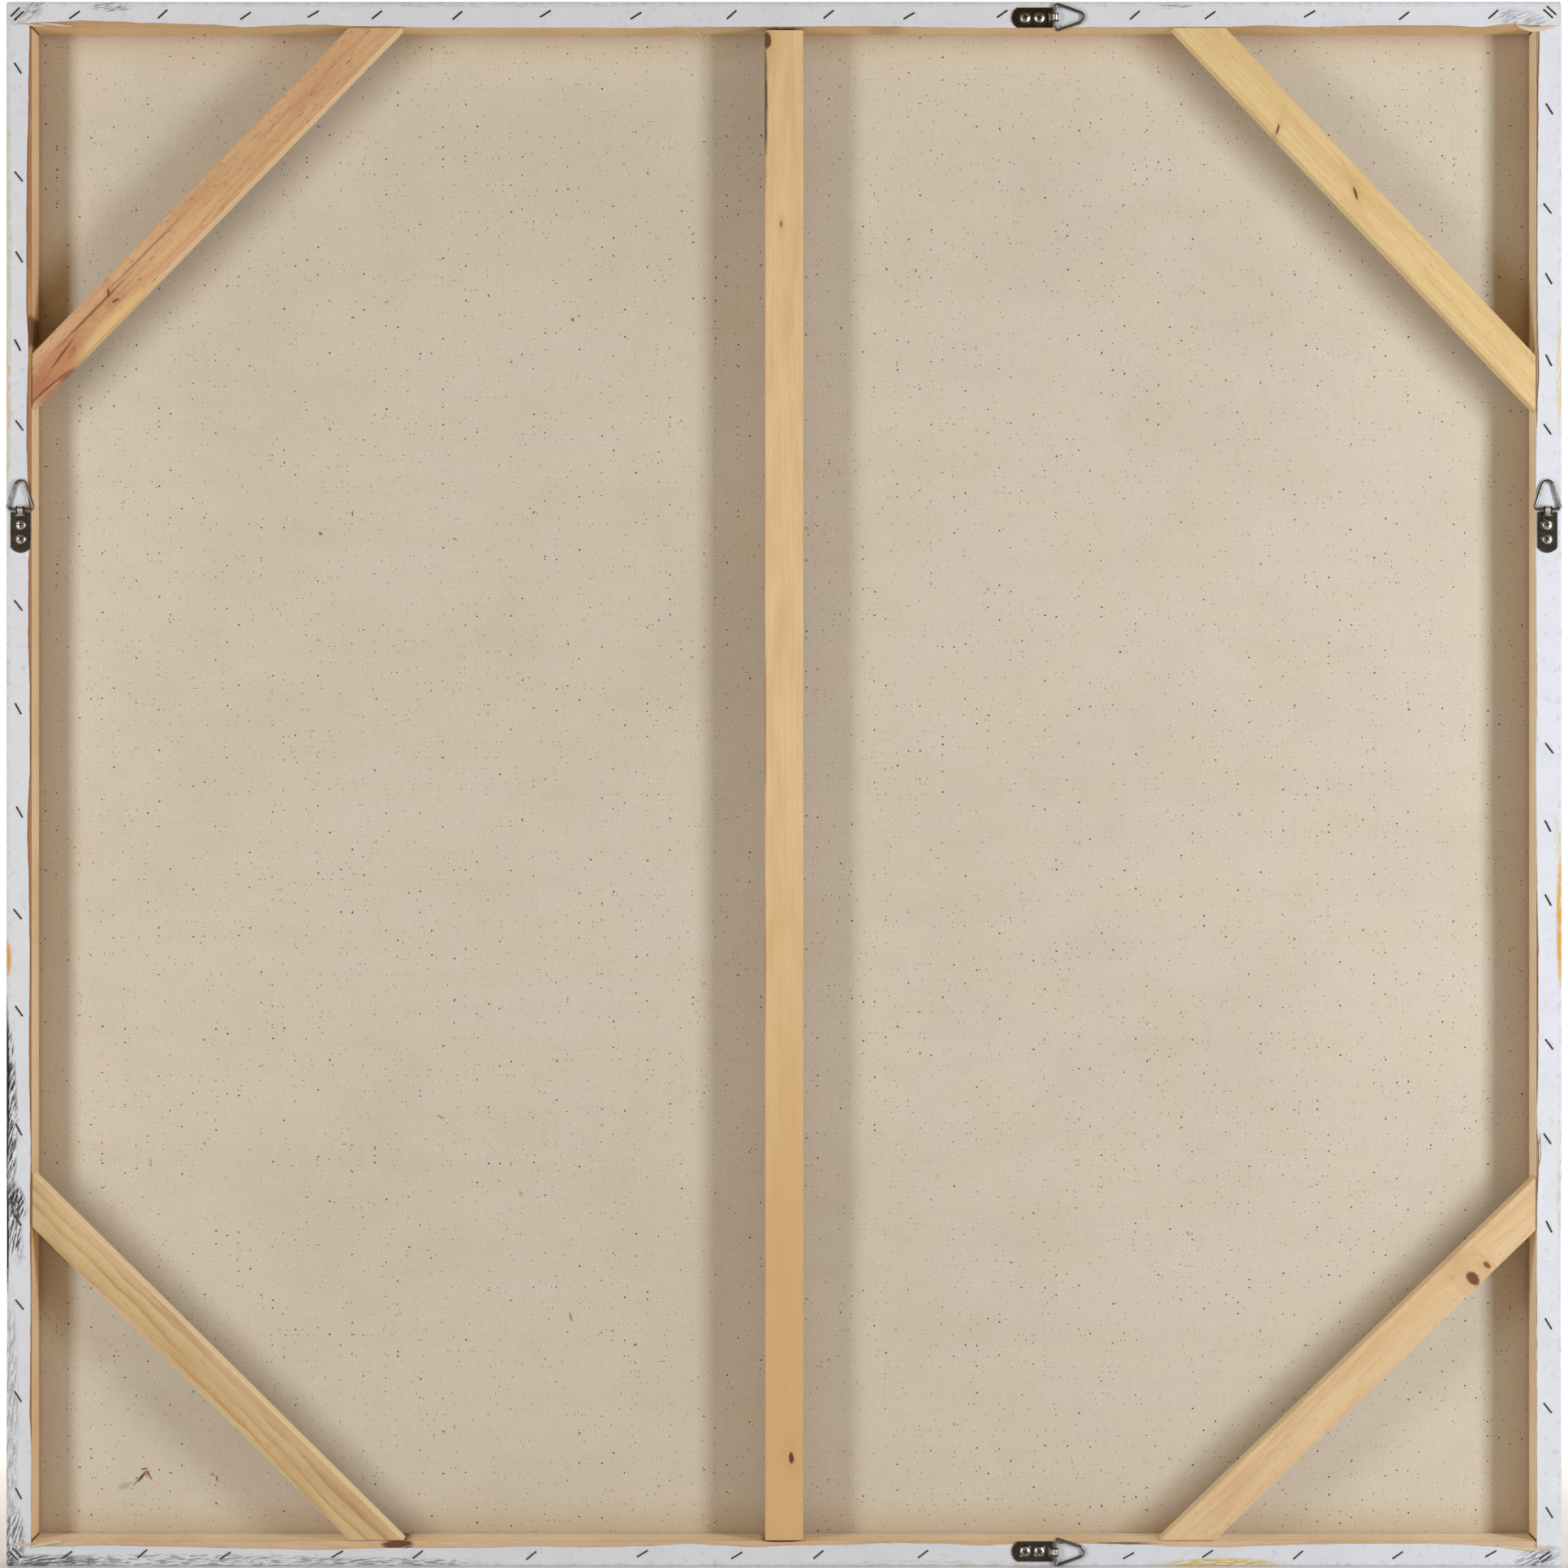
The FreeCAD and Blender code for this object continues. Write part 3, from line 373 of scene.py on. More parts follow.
# Stray paint on the primed edges: place and size in mm, turn, colour, strength, dryness, streak turn.
SMEARS = [
    ((-608.5, 1010.0), (3.2, 150.0), 0.0, (196, 192, 128), 0.55, 0.35, 1.5),
    ((-609.0, 905.0), (3.0, 60.0), 0.0, (206, 176, 92), 0.55, 0.5, 1.5),
    ((-609.0, 476.0), (3.4, 14.0), 0.0, (214, 152, 48), 0.9, 0.2, 1.5),
    ((-609.0, 372.0), (1.9, 66.0), 0.0, (26, 26, 30), 1.0, 0.05, 1.5),
    ((-607.0, 392.0), (4.6, 34.0), 0.05, (30, 30, 34), 0.95, 0.52, 1.35),
    ((-606.0, 345.0), (5.5, 52.0), 0.0, (36, 36, 40), 0.95, 0.50, 1.25),
    ((-609.0, 262.0), (1.7, 44.0), 0.0, (26, 26, 30), 1.0, 0.08, 1.5),
    ((-601.6, 286.0), (7.2, 15.0), 0.25, (28, 28, 32), 0.95, 0.44, 1.2),
    ((-603.0, 262.0), (6.0, 24.0), 0.1, (44, 44, 48), 0.9, 0.52, 1.35),
    ((-606.0, 120.0), (6.0, 90.0), 0.0, (120, 122, 130), 0.55, 0.5, 1.5),
    ((-604.0, 20.0), (9.0, 26.0), 0.0, (50, 52, 58), 0.75, 0.5, 1.3),
    ((-590.0, 4.0), (60.0, 5.0), 0.0, (44, 44, 48), 0.8, 0.45, 0.1),
    ((-470.0, 4.0), (150.0, 5.5), 0.0, (92, 94, 100), 0.6, 0.55, 0.05),
    ((-310.0, 3.0), (70.0, 4.0), 0.0, (70, 72, 78), 0.6, 0.55, 0.0),
    ((342.0, 2.0), (44.0, 4.2), 0.0, (206, 172, 60), 0.85, 0.35, 0.05),
    ((120.0, 2.0), (90.0, 3.0), 0.0, (170, 160, 110), 0.4, 0.6, 0.0),
    ((590.0, 6.0), (18.0, 9.0), 0.3, (84, 92, 92), 0.7, 0.5, 0.4),
    ((608.5, 935.0), (3.0, 40.0), 0.0, (214, 190, 76), 0.7, 0.4, 1.5),
    ((609.0, 505.0), (3.6, 50.0), 0.0, (212, 158, 46), 0.95, 0.22, 1.5),
    ((607.5, 560.0), (3.0, 30.0), 0.1, (206, 180, 110), 0.5, 0.5, 1.4),
    ((592.0, 326.0), (1.6, 14.0), 0.0, (140, 72, 50), 0.7, 0.4, 1.5),
    ((608.5, 300.0), (2.6, 60.0), 0.0, (190, 190, 168), 0.5, 0.5, 1.5),
    ((-528.0, 1222.0), (16.0, 4.0), 0.0, (60, 60, 64), 0.7, 0.6, 0.2),
    ((-592.0, 1218.0), (16.0, 7.0), 0.5, (70, 78, 74), 0.6, 0.55, 0.6),
    ((306.0, 1223.0), (14.0, 2.4), 0.0, (70, 70, 74), 0.7, 0.55, 0.0),
    ((578.0, 1212.0), (22.0, 8.0), -0.2, (128, 132, 138), 0.6, 0.5, 0.3),
    ((-250.0, 1224.0), (190.0, 2.6), 0.0, (176, 178, 182), 0.5, 0.6, 0.0),
    ((70.0, 1224.0), (120.0, 2.4), 0.0, (196, 196, 180), 0.4, 0.6, 0.0),
]


def primed_cotton(name, base, dark):
    g = Graph(name)
    x, y, z = g.split(g.point())
    lift, warp, weft = weave(g, x, z)
    threads = g.mul(g.add(warp, weft), 0.5)
    colour = g.mix(g.range(threads, 0.34, 0.66, 0.0, 0.22, smooth=False), base, dark)
    cloud = g.noise(g.join(g.mul(x, 0.02), g.mul(y, 0.05), g.mul(z, 0.02)), detail=4.0, rough=0.6)
    colour = g.mix(g.range(cloud, 0.40, 0.72, 0.0, 0.30), colour, dark)
    rub = g.noise(g.join(g.mul(x, 0.16), g.mul(y, 0.3), g.mul(z, 0.16)), detail=4.0, rough=0.7)
    back_share = g.range(y, -17.5, -19.2)
    colour = g.mix(g.mul(g.range(rub, 0.56, 0.74, 0.0, 0.42), back_share), colour, (168, 170, 176))
    edge_x = g.math("ABSOLUTE", x)
    rim = g.math("MAXIMUM", g.range(edge_x, 604.0, 609.2),
                 g.math("MAXIMUM", g.range(z, 5.0, 0.6), g.range(z, 1221.0, 1225.4)))
    colour = g.mix(g.mul(g.mul(rim, g.range(rub, 0.42, 0.62)), 0.30), colour, (172, 170, 160))
    near_back = g.range(y, 6.0, -8.0)
    for place, size, turn, stain, amount, dryness, streak in SMEARS:
        mask = smear(g, x, y, z, place, size, turn, dryness, streak)
        colour = g.mix(g.mul(g.mul(mask, amount), near_back), colour, stain)
    height = g.add(g.mul(lift, 0.45), g.mul(threads, 1.0))
    normal = g.bump(height, 0.00022, 0.6)
    return g.finish(colour, g.range(rub, 0.3, 0.7, 0.80, 0.92), normal, specular=0.18)


def metal(name, base, dark, roughness, brushed=(1.0, 1.0, 1.0), worn=None, marks=None):
    g = Graph(name)
    x, y, z = g.split(g.point())
    grain = g.noise(g.join(g.mul(x, brushed[0]), g.mul(y, brushed[1]), g.mul(z, brushed[2])),
                    detail=3.0, rough=0.6)
    stain = g.noise(g.join(g.mul(x, 0.25), g.mul(y, 0.25), g.mul(z, 0.25)), detail=3.0, rough=0.6)
    colour = g.mix(g.range(grain, 0.3, 0.7, 0.0, 0.55), base, dark)
    colour = g.mix(g.range(stain, 0.45, 0.7, 0.0, 0.5), colour, dark)
    if worn is not None:
        edge = g.node("ShaderNodeNewGeometry", "Pointiness")
        colour = g.mix(g.mul(g.range(edge, 0.52, 0.60), g.range(stain, 0.3, 0.55, 0.4, 1.0)), colour, worn)
    if marks is not None:
        mask, tone = marks(g, x, y, z)
        colour = g.mix(mask, colour, tone)
    normal = g.bump(grain, 0.00003, 0.5)
    spread = g.range(stain, 0.3, 0.7, roughness - 0.06, roughness + 0.1)
    return g.finish(colour, spread, normal, metallic=1.0)


def tongue_marks(g, x, y, z):
    """Darkens both sides of a strap's raised tongue and leaves a bright stripe along its middle."""
    strap_low, strap_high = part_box("hanger_strap_right")
    side = g.math("ABSOLUTE", g.sub(g.math("ABSOLUTE", x), (strap_low.x + strap_high.x) * 500))
    rows = []
    for name in ("hanger_strap_top", "hanger_strap_bottom"):
        strap_low, strap_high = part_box(name)
        rows.append(g.math("ABSOLUTE", g.sub(z, (strap_low.z + strap_high.z) * 500)))
    off = g.math("MINIMUM", side, g.math("MINIMUM", *rows))
    raised = g.range(y, -21.9, -22.3)
    return g.mul(g.mul(raised, g.range(off, 1.7, 2.3)), 0.92), (26, 24, 22)


def screw_recess_shade(g, _x, y, _z):
    """Painted shade in a screw's cross recess and round the foot of its head."""
    return g.range(y, -21.95, -21.5, 0.0, 0.92), (30, 27, 24)


# ---------------------------------------------------------------- the stretched cloth

# How wide the turned-over flap is, as cut by hand: (place along the side, width), millimetres.
FLAPS = {
    "left": [(0, 19.6), (95, 19.6), (120, 18.4), (209, 19.1), (273, 18.4), (324, 19.1), (400, 17.8),
             (477, 18.4), (527, 17.8), (578, 16.5), (629, 18.4), (680, 18.4), (731, 17.2), (782, 17.4),
             (807, 18.4), (884, 15.9), (960, 17.2), (985, 15.9), (1062, 15.9), (1113, 16.5),
             (1138, 17.2), (1226, 18.4)],
    "right": [(0, 19.6), (273, 19.6), (324, 17.8), (349, 19.6), (400, 18.4), (477, 18.4), (553, 19.6),
              (629, 20.3), (680, 19.7), (756, 20.0), (807, 20.5), (858, 20.3), (884, 20.0), (909, 19.1),
              (934, 17.8), (985, 19.1), (1062, 19.1), (1138, 18.4), (1226, 17.2)],
    "top": [(-610, 17.4), (-590, 16.6), (-576, 15.9), (-551, 14.6), (-525, 15.3), (-500, 16.5),
            (-449, 17.8), (-424, 19.7), (-373, 17.8), (-322, 19.1), (-271, 20.0), (-169, 20.2),
            (-118, 20.4), (-67, 19.7), (60, 19.1), (162, 20.4), (238, 19.7), (340, 19.7), (378, 18.4),
            (416, 19.7), (467, 18.4), (518, 18.4), (543, 19.7), (569, 17.2), (590, 18.4), (610, 18.8)],
    "bottom": [(-610, 16.0), (-563, 15.5), (-538, 16.3), (-487, 15.5), (-410, 13.9), (-371, 12.8),
               (-301, 14.4), (-238, 14.5), (-201, 15.6), (-160, 14.9), (-106, 15.8), (-90, 16.8),
               (-73, 17.8), (-55, 16.5), (-23, 15.1), (0, 16.2), (51, 16.9), (81, 18.4), (127, 17.6),
               (153, 16.3), (178, 17.2), (224, 17.9), (286, 17.0), (307, 15.5), (345, 15.0),
               (383, 16.3), (410, 17.2), (448, 17.8), (499, 17.8), (524, 17.2), (560, 15.4), (610, 14.2)],
}
TUCK = 4.0 * MM
FOLD_REACH = 18.0 * MM
FOLD_SLOPE = 5 * MM
FOLD_RISE = 2.2 * MM
RIPPLE = 0.05 * MM
FLAP_ROWS = (0.16, 0.34, 0.52, 0.70, 0.82, 0.90, 0.96, 1.0)
CURL_START = 0.70


def flap_width(side, place):
    """The flap's width in metres at a place in metres along its side, with the cut's fine unevenness."""
    table = FLAPS[side]
    mm = place * 1000
    for (first, low), (last, high) in zip(table, table[1:]):
        if first <= mm <= last:
            share = (mm - first) / (last - first)
            share = share * share * (3 - 2 * share)
            width = low + (high - low) * share
            break
    else:
        width = table[0][1] if mm < table[0][0] else table[-1][1]
    seat = {"left": 1.7, "right": 5.3, "top": 9.1, "bottom": 13.9}[side]
    coarse = noise.noise(Vector((mm * 0.11, seat, 0.0)))
    fine = noise.noise(Vector((mm * 0.45, seat, 4.0)))
    return (width + (0.30 * coarse + 0.18 * fine)) * MM


STRAP_SPANS = {}
for side in ("left", "right", "top", "bottom"):
    low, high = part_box(f"hanger_strap_{side}")
    STRAP_SPANS[side] = (low.z, high.z) if side in ("left", "right") else (low.x, high.x)


def strap_near(side, place):
    """1 under a hanger strap, where the raw edge is pressed flat, and 0 away from it."""
    first, last = STRAP_SPANS[side]
    gap = max(first - place, place - last, 0.0)
    return max(0.0, 1.0 - gap / (6 * MM))


def curl(side, place):
    """How far the raw edge stands off the bar."""
    mm = place * 1000
    seat = {"left": 21.0, "right": 31.0, "top": 41.0, "bottom": 51.0}[side]
    slow = 0.5 + 0.5 * noise.noise(Vector((mm * 0.018, seat, 0.0)))
    quick = noise.noise(Vector((mm * 0.13, seat, 2.0)))
    lift = (0.10 + 0.75 * slow * slow + 0.22 * quick) * MM
    return max(lift, 0.0) * (1.0 - strap_near(side, place))


def outline_points():
    """The rounded outline, anticlockwise from the lower left tangent point of the bottom edge:
    (place, outward normal, side or None in a corner)."""
    radius = CORNER_RADIUS - CLOTH / 2
    low_x, high_x = -HALF + CLOTH / 2, HALF - CLOTH / 2
    low_z, high_z = CLOTH / 2, TOP - CLOTH / 2
    columns = round((high_x - low_x - 2 * radius) / PANEL_STEP)
    levels = round((high_z - low_z - 2 * radius) / PANEL_STEP)
    fine = round(PANEL_STEP / EDGE_STEP)
    arc = CORNER_STEPS
    points = []

    def straight(first, last, count, normal, side):
        for number in range(count):
            share = number / count
            points.append((first.lerp(last, share), normal, side))

    def corner(centre, start):
        for number in range(arc):
            angle = start + math.pi / 2 * number / arc
            normal = Vector((math.cos(angle), 0, math.sin(angle)))
            points.append((centre + normal * radius, normal, None))

    a, b = low_x + radius, high_x - radius
    c, d = low_z + radius, high_z - radius
    straight(Vector((a, 0, low_z)), Vector((b, 0, low_z)), columns * fine, Vector((0, 0, -1)), "bottom")
    corner(Vector((b, 0, c)), -math.pi / 2)
    straight(Vector((high_x, 0, c)), Vector((high_x, 0, d)), levels * fine, Vector((1, 0, 0)), "right")
    corner(Vector((b, 0, d)), 0.0)
    straight(Vector((b, 0, high_z)), Vector((a, 0, high_z)), columns * fine, Vector((0, 0, 1)), "top")
    corner(Vector((a, 0, d)), math.pi / 2)
    straight(Vector((low_x, 0, d)), Vector((low_x, 0, c)), levels * fine, Vector((-1, 0, 0)), "left")
    corner(Vector((a, 0, c)), math.pi)
    return points, (a, b, c, d), columns, levels, fine, arc


def stretched_cloth():
    bm = bmesh.new()
    points, (a, b, c, d), columns, levels, fine, arc = outline_points()
    middle_y = FRONT - CLOTH / 2
    profile = []
    for step in range(WRAP_STEPS + 1):
        angle = math.pi / 2 * step / WRAP_STEPS
        profile.append((WRAP_RADIUS * (1 - math.sin(angle)), middle_y - WRAP_RADIUS * (1 - math.cos(angle))))
    for step in range(1, WALL_STEPS):
        share = step / WALL_STEPS
        profile.append((0.0, (middle_y - WRAP_RADIUS) * (1 - 2 * share)))
    for step in range(WRAP_STEPS + 1):
        angle = math.pi / 2 * step / WRAP_STEPS
        profile.append((WRAP_RADIUS * (1 - math.cos(angle)), -middle_y + WRAP_RADIUS * (1 - math.sin(angle))))
    total = len(points)
    rings = []
    for inset, level in profile:
        ring = []
        for place, normal, _ in points:
            spot = place - normal * inset
            ring.append(bm.verts.new((spot.x, level, spot.z)))
        rings.append(ring)
    for lower, upper in zip(rings, rings[1:]):
        for number in range(total):
            after = (number + 1) % total
            bm.faces.new((lower[number], lower[after], upper[after], upper[number]))

    # The front panel: a coarse grid within the corner tangent points, joined to the fine ring.
    grid = [[bm.verts.new((a + (b - a) * i / columns, middle_y, c + (d - c) * j / levels))
             for i in range(columns + 1)] for j in range(levels + 1)]
    for j in range(levels):
        for i in range(columns):
            bm.faces.new((grid[j][i], grid[j + 1][i], grid[j + 1][i + 1], grid[j][i + 1]))
    ring = rings[0]
    starts = {}
    for number, (_, _, side) in enumerate(points):
        if side is not None and side not in starts:
            starts[side] = number
    rows = {
        "bottom": [grid[0][i] for i in range(columns + 1)],
        "right": [grid[j][columns] for j in range(levels + 1)],
        "top": [grid[levels][columns - i] for i in range(columns + 1)],
        "left": [grid[levels - j][0] for j in range(levels + 1)],
    }
    for side, row in rows.items():
        start = starts[side]
        for cell in range(len(row) - 1):
            outer = [ring[(start + cell * fine + k) % total] for k in range(fine + 1)]
            bm.faces.new([row[cell], row[cell + 1]] + outer[::-1])
        end = start + (len(row) - 1) * fine
        bm.faces.new([row[-1]] + [ring[(end + k) % total] for k in range(arc + 1)][::-1])

    # The flaps. Those of the top and bottom run the full width, over the ends of the sides' flaps.
    last = rings[-1]
    flap_y = -middle_y

    def flap(side, numbers):
        before = None
        for number in numbers:
            root = last[number % total]
            x, z = root.co.x, root.co.z
            if side in ("top", "bottom"):
                sign = -1 if side == "top" else 1
                outer = TOP if side == "top" else 0.0
                place = x
                reach = flap_width(side, place) - abs(z - outer)
                past_fold = abs(x) - (HALF - FOLD_REACH - FOLD_SLOPE)
                corner_share = max(0.0, min(1.0, past_fold / FOLD_SLOPE))
            else:
                sign = 1 if side == "left" else -1
                place = z
                reach = flap_width(side, place) - abs(HALF - abs(x))
                corner_share = 0.0
            rise = curl(side, place)
            column = [root]
            for share in FLAP_ROWS:
                off = 0.0
                if share > CURL_START:
                    off = rise * ((share - CURL_START) / (1 - CURL_START)) ** 1.6
                ripple = RIPPLE * noise.noise(Vector((place * 90, share * 3, 7.0)))
                lifted = corner_share * CLOTH * min(1.0, share * reach / FOLD_RISE)
                lift = off + lifted + abs(ripple) * share
                if side in ("top", "bottom"):
                    column.append(bm.verts.new((x, flap_y - lift, z + sign * reach * share)))
                else:
                    column.append(bm.verts.new((x + sign * reach * share, flap_y - lift, z)))
            if before is not None:
                for k in range(len(column) - 1):
                    bm.faces.new((before[k], column[k], column[k + 1], before[k + 1]))
            before = column

    flap("bottom", range(starts["bottom"] - arc, starts["bottom"] + columns * fine + arc + 1))
    flap("top", range(starts["top"] - arc, starts["top"] + columns * fine + arc + 1))
    for side in ("left", "right"):
        inside = []
        for number in range(starts[side], starts[side] + levels * fine + 1):
            z = points[number % total][0].z
            x = -HALF + 10 * MM if side == "left" else HALF - 10 * MM
            if flap_width("bottom", x) - TUCK < z < TOP - flap_width("top", x) + TUCK:
                inside.append(number)
        flap(side, inside)

    bmesh.ops.recalc_face_normals(bm, faces=bm.faces)
    mesh = bpy.data.meshes.new("canvas_cloth")
    bm.to_mesh(mesh)
    bm.free()
    # The primed face is the outer one: at the front panel the normals have to run to +Y.
    front = max(mesh.polygons, key=lambda polygon: polygon.area)
    if front.normal.y < 0:
        mesh.flip_normals()
    cloth = bpy.data.objects.new("canvas_cloth", mesh)
    bpy.context.scene.collection.objects.link(cloth)
    for polygon in mesh.polygons:
        polygon.use_smooth = True
    return cloth


def thicken(cloth, materials):
    """Give the sheet its thickness, with materials for its outside, inside and cut edge."""
    for material in materials:
        cloth.data.materials.append(material)
    solid = cloth.modifiers.new("thickness", "SOLIDIFY")
    solid.thickness = CLOTH
    solid.offset = 0.0
    solid.use_even_offset = True
    solid.material_offset = 1
    solid.material_offset_rim = 2
    graph = bpy.context.evaluated_depsgraph_get()
    made = bpy.data.meshes.new_from_object(cloth.evaluated_get(graph))
    cloth.modifiers.clear()
    cloth.data = made


# ---------------------------------------------------------------- plies, frays and threads

def tube_mesh(bm, path, radius, sides=6):
    """A round strand along a path; radius may be one number or one for each point."""
    count = len(path)
    rings = []
    for number, point in enumerate(path):
        ahead = path[min(number + 1, count - 1)] - path[max(number - 1, 0)]
        ahead.normalize()
        side = ahead.cross(Vector((0, 1, 0)))
        if side.length < 1e-6:
            side = ahead.cross(Vector((1, 0, 0)))
        side.normalize()
        up = side.cross(ahead).normalized()
        size = radius[number] if isinstance(radius, (list, tuple)) else radius
        ring = []
        for k in range(sides):
            angle = 2 * math.pi * k / sides
            ring.append(bm.verts.new(point + side * (math.cos(angle) * size) + up * (math.sin(angle) * size)))
        rings.append(ring)
    for lower, upper in zip(rings, rings[1:]):
        for k in range(sides):
            after = (k + 1) % sides
            bm.faces.new((lower[k], lower[after], upper[after], upper[k]))
    bm.faces.new(rings[0][::-1])
    bm.faces.new(rings[-1])


def smooth_path(points, steps):
    """A Catmull-Rom curve through the points."""
    padded = [points[0] * 2 - points[1], *points, points[-1] * 2 - points[-2]]
    path = []
    for number in range(1, len(padded) - 2):
        p0, p1, p2, p3 = padded[number - 1:number + 3]
        for step in range(steps):
            t = step / steps
            path.append(0.5 * (2 * p1 + (p2 - p0) * t + (2 * p0 - 5 * p1 + 4 * p2 - p3) * t * t
                               + (3 * p1 - p0 - 3 * p2 + p3) * t ** 3))
    path.append(points[-1].copy())
    return path


def finish_mesh(name, bm, material):
    """A loose bit of the cloth, which rides on the frame."""
    bmesh.ops.recalc_face_normals(bm, faces=bm.faces)
    mesh = bpy.data.meshes.new(name)
    bm.to_mesh(mesh)
    bm.free()
    mesh.materials.append(material)
    for polygon in mesh.polygons:
        polygon.use_smooth = True
    made = bpy.data.objects.new(name, mesh)
    bpy.context.scene.collection.objects.link(made)
    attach(made, "frame")
    return made


# How many frayed ends each raw edge has, and a frayed end's radii from root to tip in mm.
FRAYS = {"left": 70, "right": 120, "top": 95, "bottom": 80}
FRAY_TAPER = (0.13, 0.13, 0.12, 0.11, 0.10, 0.08, 0.05)


def frayed_edges(material):
    """Short cotton ends along the raw edges, and the few long threads that have come loose."""
    rng = random.Random(41)
    bm = bmesh.new()
    surface = BACK - 0.15 * MM
    for side, amount in FRAYS.items():
        for _ in range(amount):
            if side in ("left", "right"):
                z = rng.uniform(0.022, TOP - 0.022)
                if strap_near(side, z) > 0:
                    continue
                sign = 1 if side == "left" else -1
                x = -sign * (HALF - flap_width(side, z))
                along, inward = Vector((0, 0, 1)), Vector((sign, 0, 0))
                root = Vector((x, surface - curl(side, z), z))
            else:
                x = rng.uniform(-HALF + 0.02, HALF - 0.02)
                if strap_near(side, x) > 0:
                    continue
                sign = 1 if side == "bottom" else -1
                z = flap_width(side, x) if side == "bottom" else TOP - flap_width(side, x)
                along, inward = Vector((1, 0, 0)), Vector((0, 0, sign))
                root = Vector((x, surface - curl(side, x), z))
            length = rng.uniform(0.8, 3.4) * MM
            lean = rng.uniform(-1.6, 1.6)
            drop = Vector((0, rng.uniform(-0.2, 0.5), 0))
            bend = rng.uniform(-0.5, 0.5)
            first = root - inward * 0.6 * MM
            second = root + (inward + along * lean * 0.5 + drop * 0.3).normalized() * length * 0.5
            third = second + (inward * 0.6 + along * (lean + bend) + drop).normalized() * length * 0.6
            tube_mesh(bm, smooth_path([first, second, third], 3), [r * MM for r in FRAY_TAPER], sides=4)
    for points, radius in LOOSE_THREADS:
        path = smooth_path([Vector((x * MM, y * MM, z * MM)) for x, y, z in points], 6)
        tube_mesh(bm, path, radius * MM, sides=6)
    return finish_mesh("canvas_threads", bm, material)


# Threads that have come loose: points in mm, and the thread's radius.
LOOSE_THREADS = [
    ([(-86, -20.4, 1206.5), (-80, -20.8, 1205.5), (-74, -20.6, 1204.2), (-68, -19.0, 1201.5),
      (-64, -16, 1198.0), (-60, -15, 1199.5), (-57, -17, 1203.0), (-60, -19, 1205.0),
      (-66, -20.2, 1205.6)], 0.22),
    ([(-82, -20.3, 1206.8), (-76, -20.9, 1205.0), (-71, -20.5, 1202.5), (-66, -19.6, 1201.0)], 0.2),
    ([(590.2, -20.2, 956), (588.4, -20.8, 951), (587.4, -20.6, 946), (589.6, -20.9, 943),
      (591.0, -20.3, 948)], 0.18),
    ([(589.6, -20.2, 1189), (588.4, -20.5, 1182), (589.0, -20.6, 1174), (588.2, -20.3, 1166)], 0.2),
    ([(590.0, -20.2, 1180), (587.9, -20.6, 1171), (588.4, -20.5, 1160), (589.4, -20.3, 1150)], 0.18),
    ([(-592.4, -20.2, 1140), (-590.4, -20.7, 1133), (-590.8, -20.5, 1122)], 0.16),
    ([(420, -20.3, 1206.8), (431, -20.8, 1205.6), (440, -20.6, 1207.0)], 0.18),
    ([(-300, -20.2, 14.6), (-294, -20.8, 16.2), (-286, -20.6, 15.0)], 0.18),
    ([(66, -20.2, 17.6), (72, -20.8, 19.4), (80, -20.6, 18.8), (84, -20.4, 17.0)], 0.18),
]


def ply(bm, points, widths, lift=0.0, thick=0.30):
    """A raw cloth edge showing in a corner fold: a flattened strip with rounded sides."""
    path = smooth_path([Vector((x * MM, (-20.0 - lift) * MM, z * MM)) for x, z in points], 5)
    spread = np.interp(np.linspace(0, len(widths) - 1, len(path)), range(len(widths)), widths)
    sizes = [float(w) * 0.5 * MM for w in spread]
    count = len(path)
    rings = []
    sides = 10
    for number, point in enumerate(path):
        ahead = (path[min(number + 1, count - 1)] - path[max(number - 1, 0)]).normalized()
        side = ahead.cross(Vector((0, 1, 0))).normalized()
        ring = []
        for k in range(sides):
            angle = 2 * math.pi * k / sides
            rough = 1.0 + 0.12 * noise.noise(Vector((point.x * 900, point.z * 900, k * 1.3)))
            ring.append(bm.verts.new(point + side * (math.cos(angle) * sizes[number] * rough)
                                     + Vector((0, math.sin(angle) * thick * MM, 0))))
        rings.append(ring)
    for lower, upper in zip(rings, rings[1:]):
        for k in range(sides):
            after = (k + 1) % sides
            bm.faces.new((lower[k], lower[after], upper[after], upper[k]))
    bm.faces.new(rings[0][::-1])
    bm.faces.new(rings[-1])


# Raw edges of the pleats tucked into each corner: points (x, z) and widths in mm, and height.
CORNER_PLIES = {
    "top_left": [
        (((-598.5, 1208.6), (-591.0, 1208.0), (-583.0, 1207.4), (-576.4, 1208.4)),
         (0.8, 1.9, 1.7, 0.6), 0.1),
        (((-586.0, 1209.6), (-577.0, 1208.8), (-567.0, 1207.6), (-557.5, 1206.8)),
         (0.8, 1.7, 2.0, 1.0), 0.35),
    ],
    "top_right": [
        (((572.8, 1208.4), (580.0, 1205.6), (588.0, 1204.4), (597.0, 1205.6), (605.4, 1207.0)),
         (0.6, 3.0, 4.6, 3.4, 0.8), 0.1),
    ],
    "bottom_left": [
        (((-590.8, 15.0), (-583.0, 16.8), (-574.0, 18.6), (-565.4, 19.4)), (1.6, 3.0, 2.8, 1.8), 0.35),
        (((-604.2, 17.6), (-599.0, 16.4), (-593.0, 17.2), (-589.6, 16.0)), (1.8, 2.8, 2.2, 1.0), 0.1),
    ],
    "bottom_right": [
        (((559.0, 16.2), (569.0, 15.0), (580.0, 13.6), (589.0, 13.2), (597.0, 14.4), (602.6, 15.4)),
         (1.0, 2.2, 2.6, 2.6, 2.0, 0.7), 0.3),
    ],
}


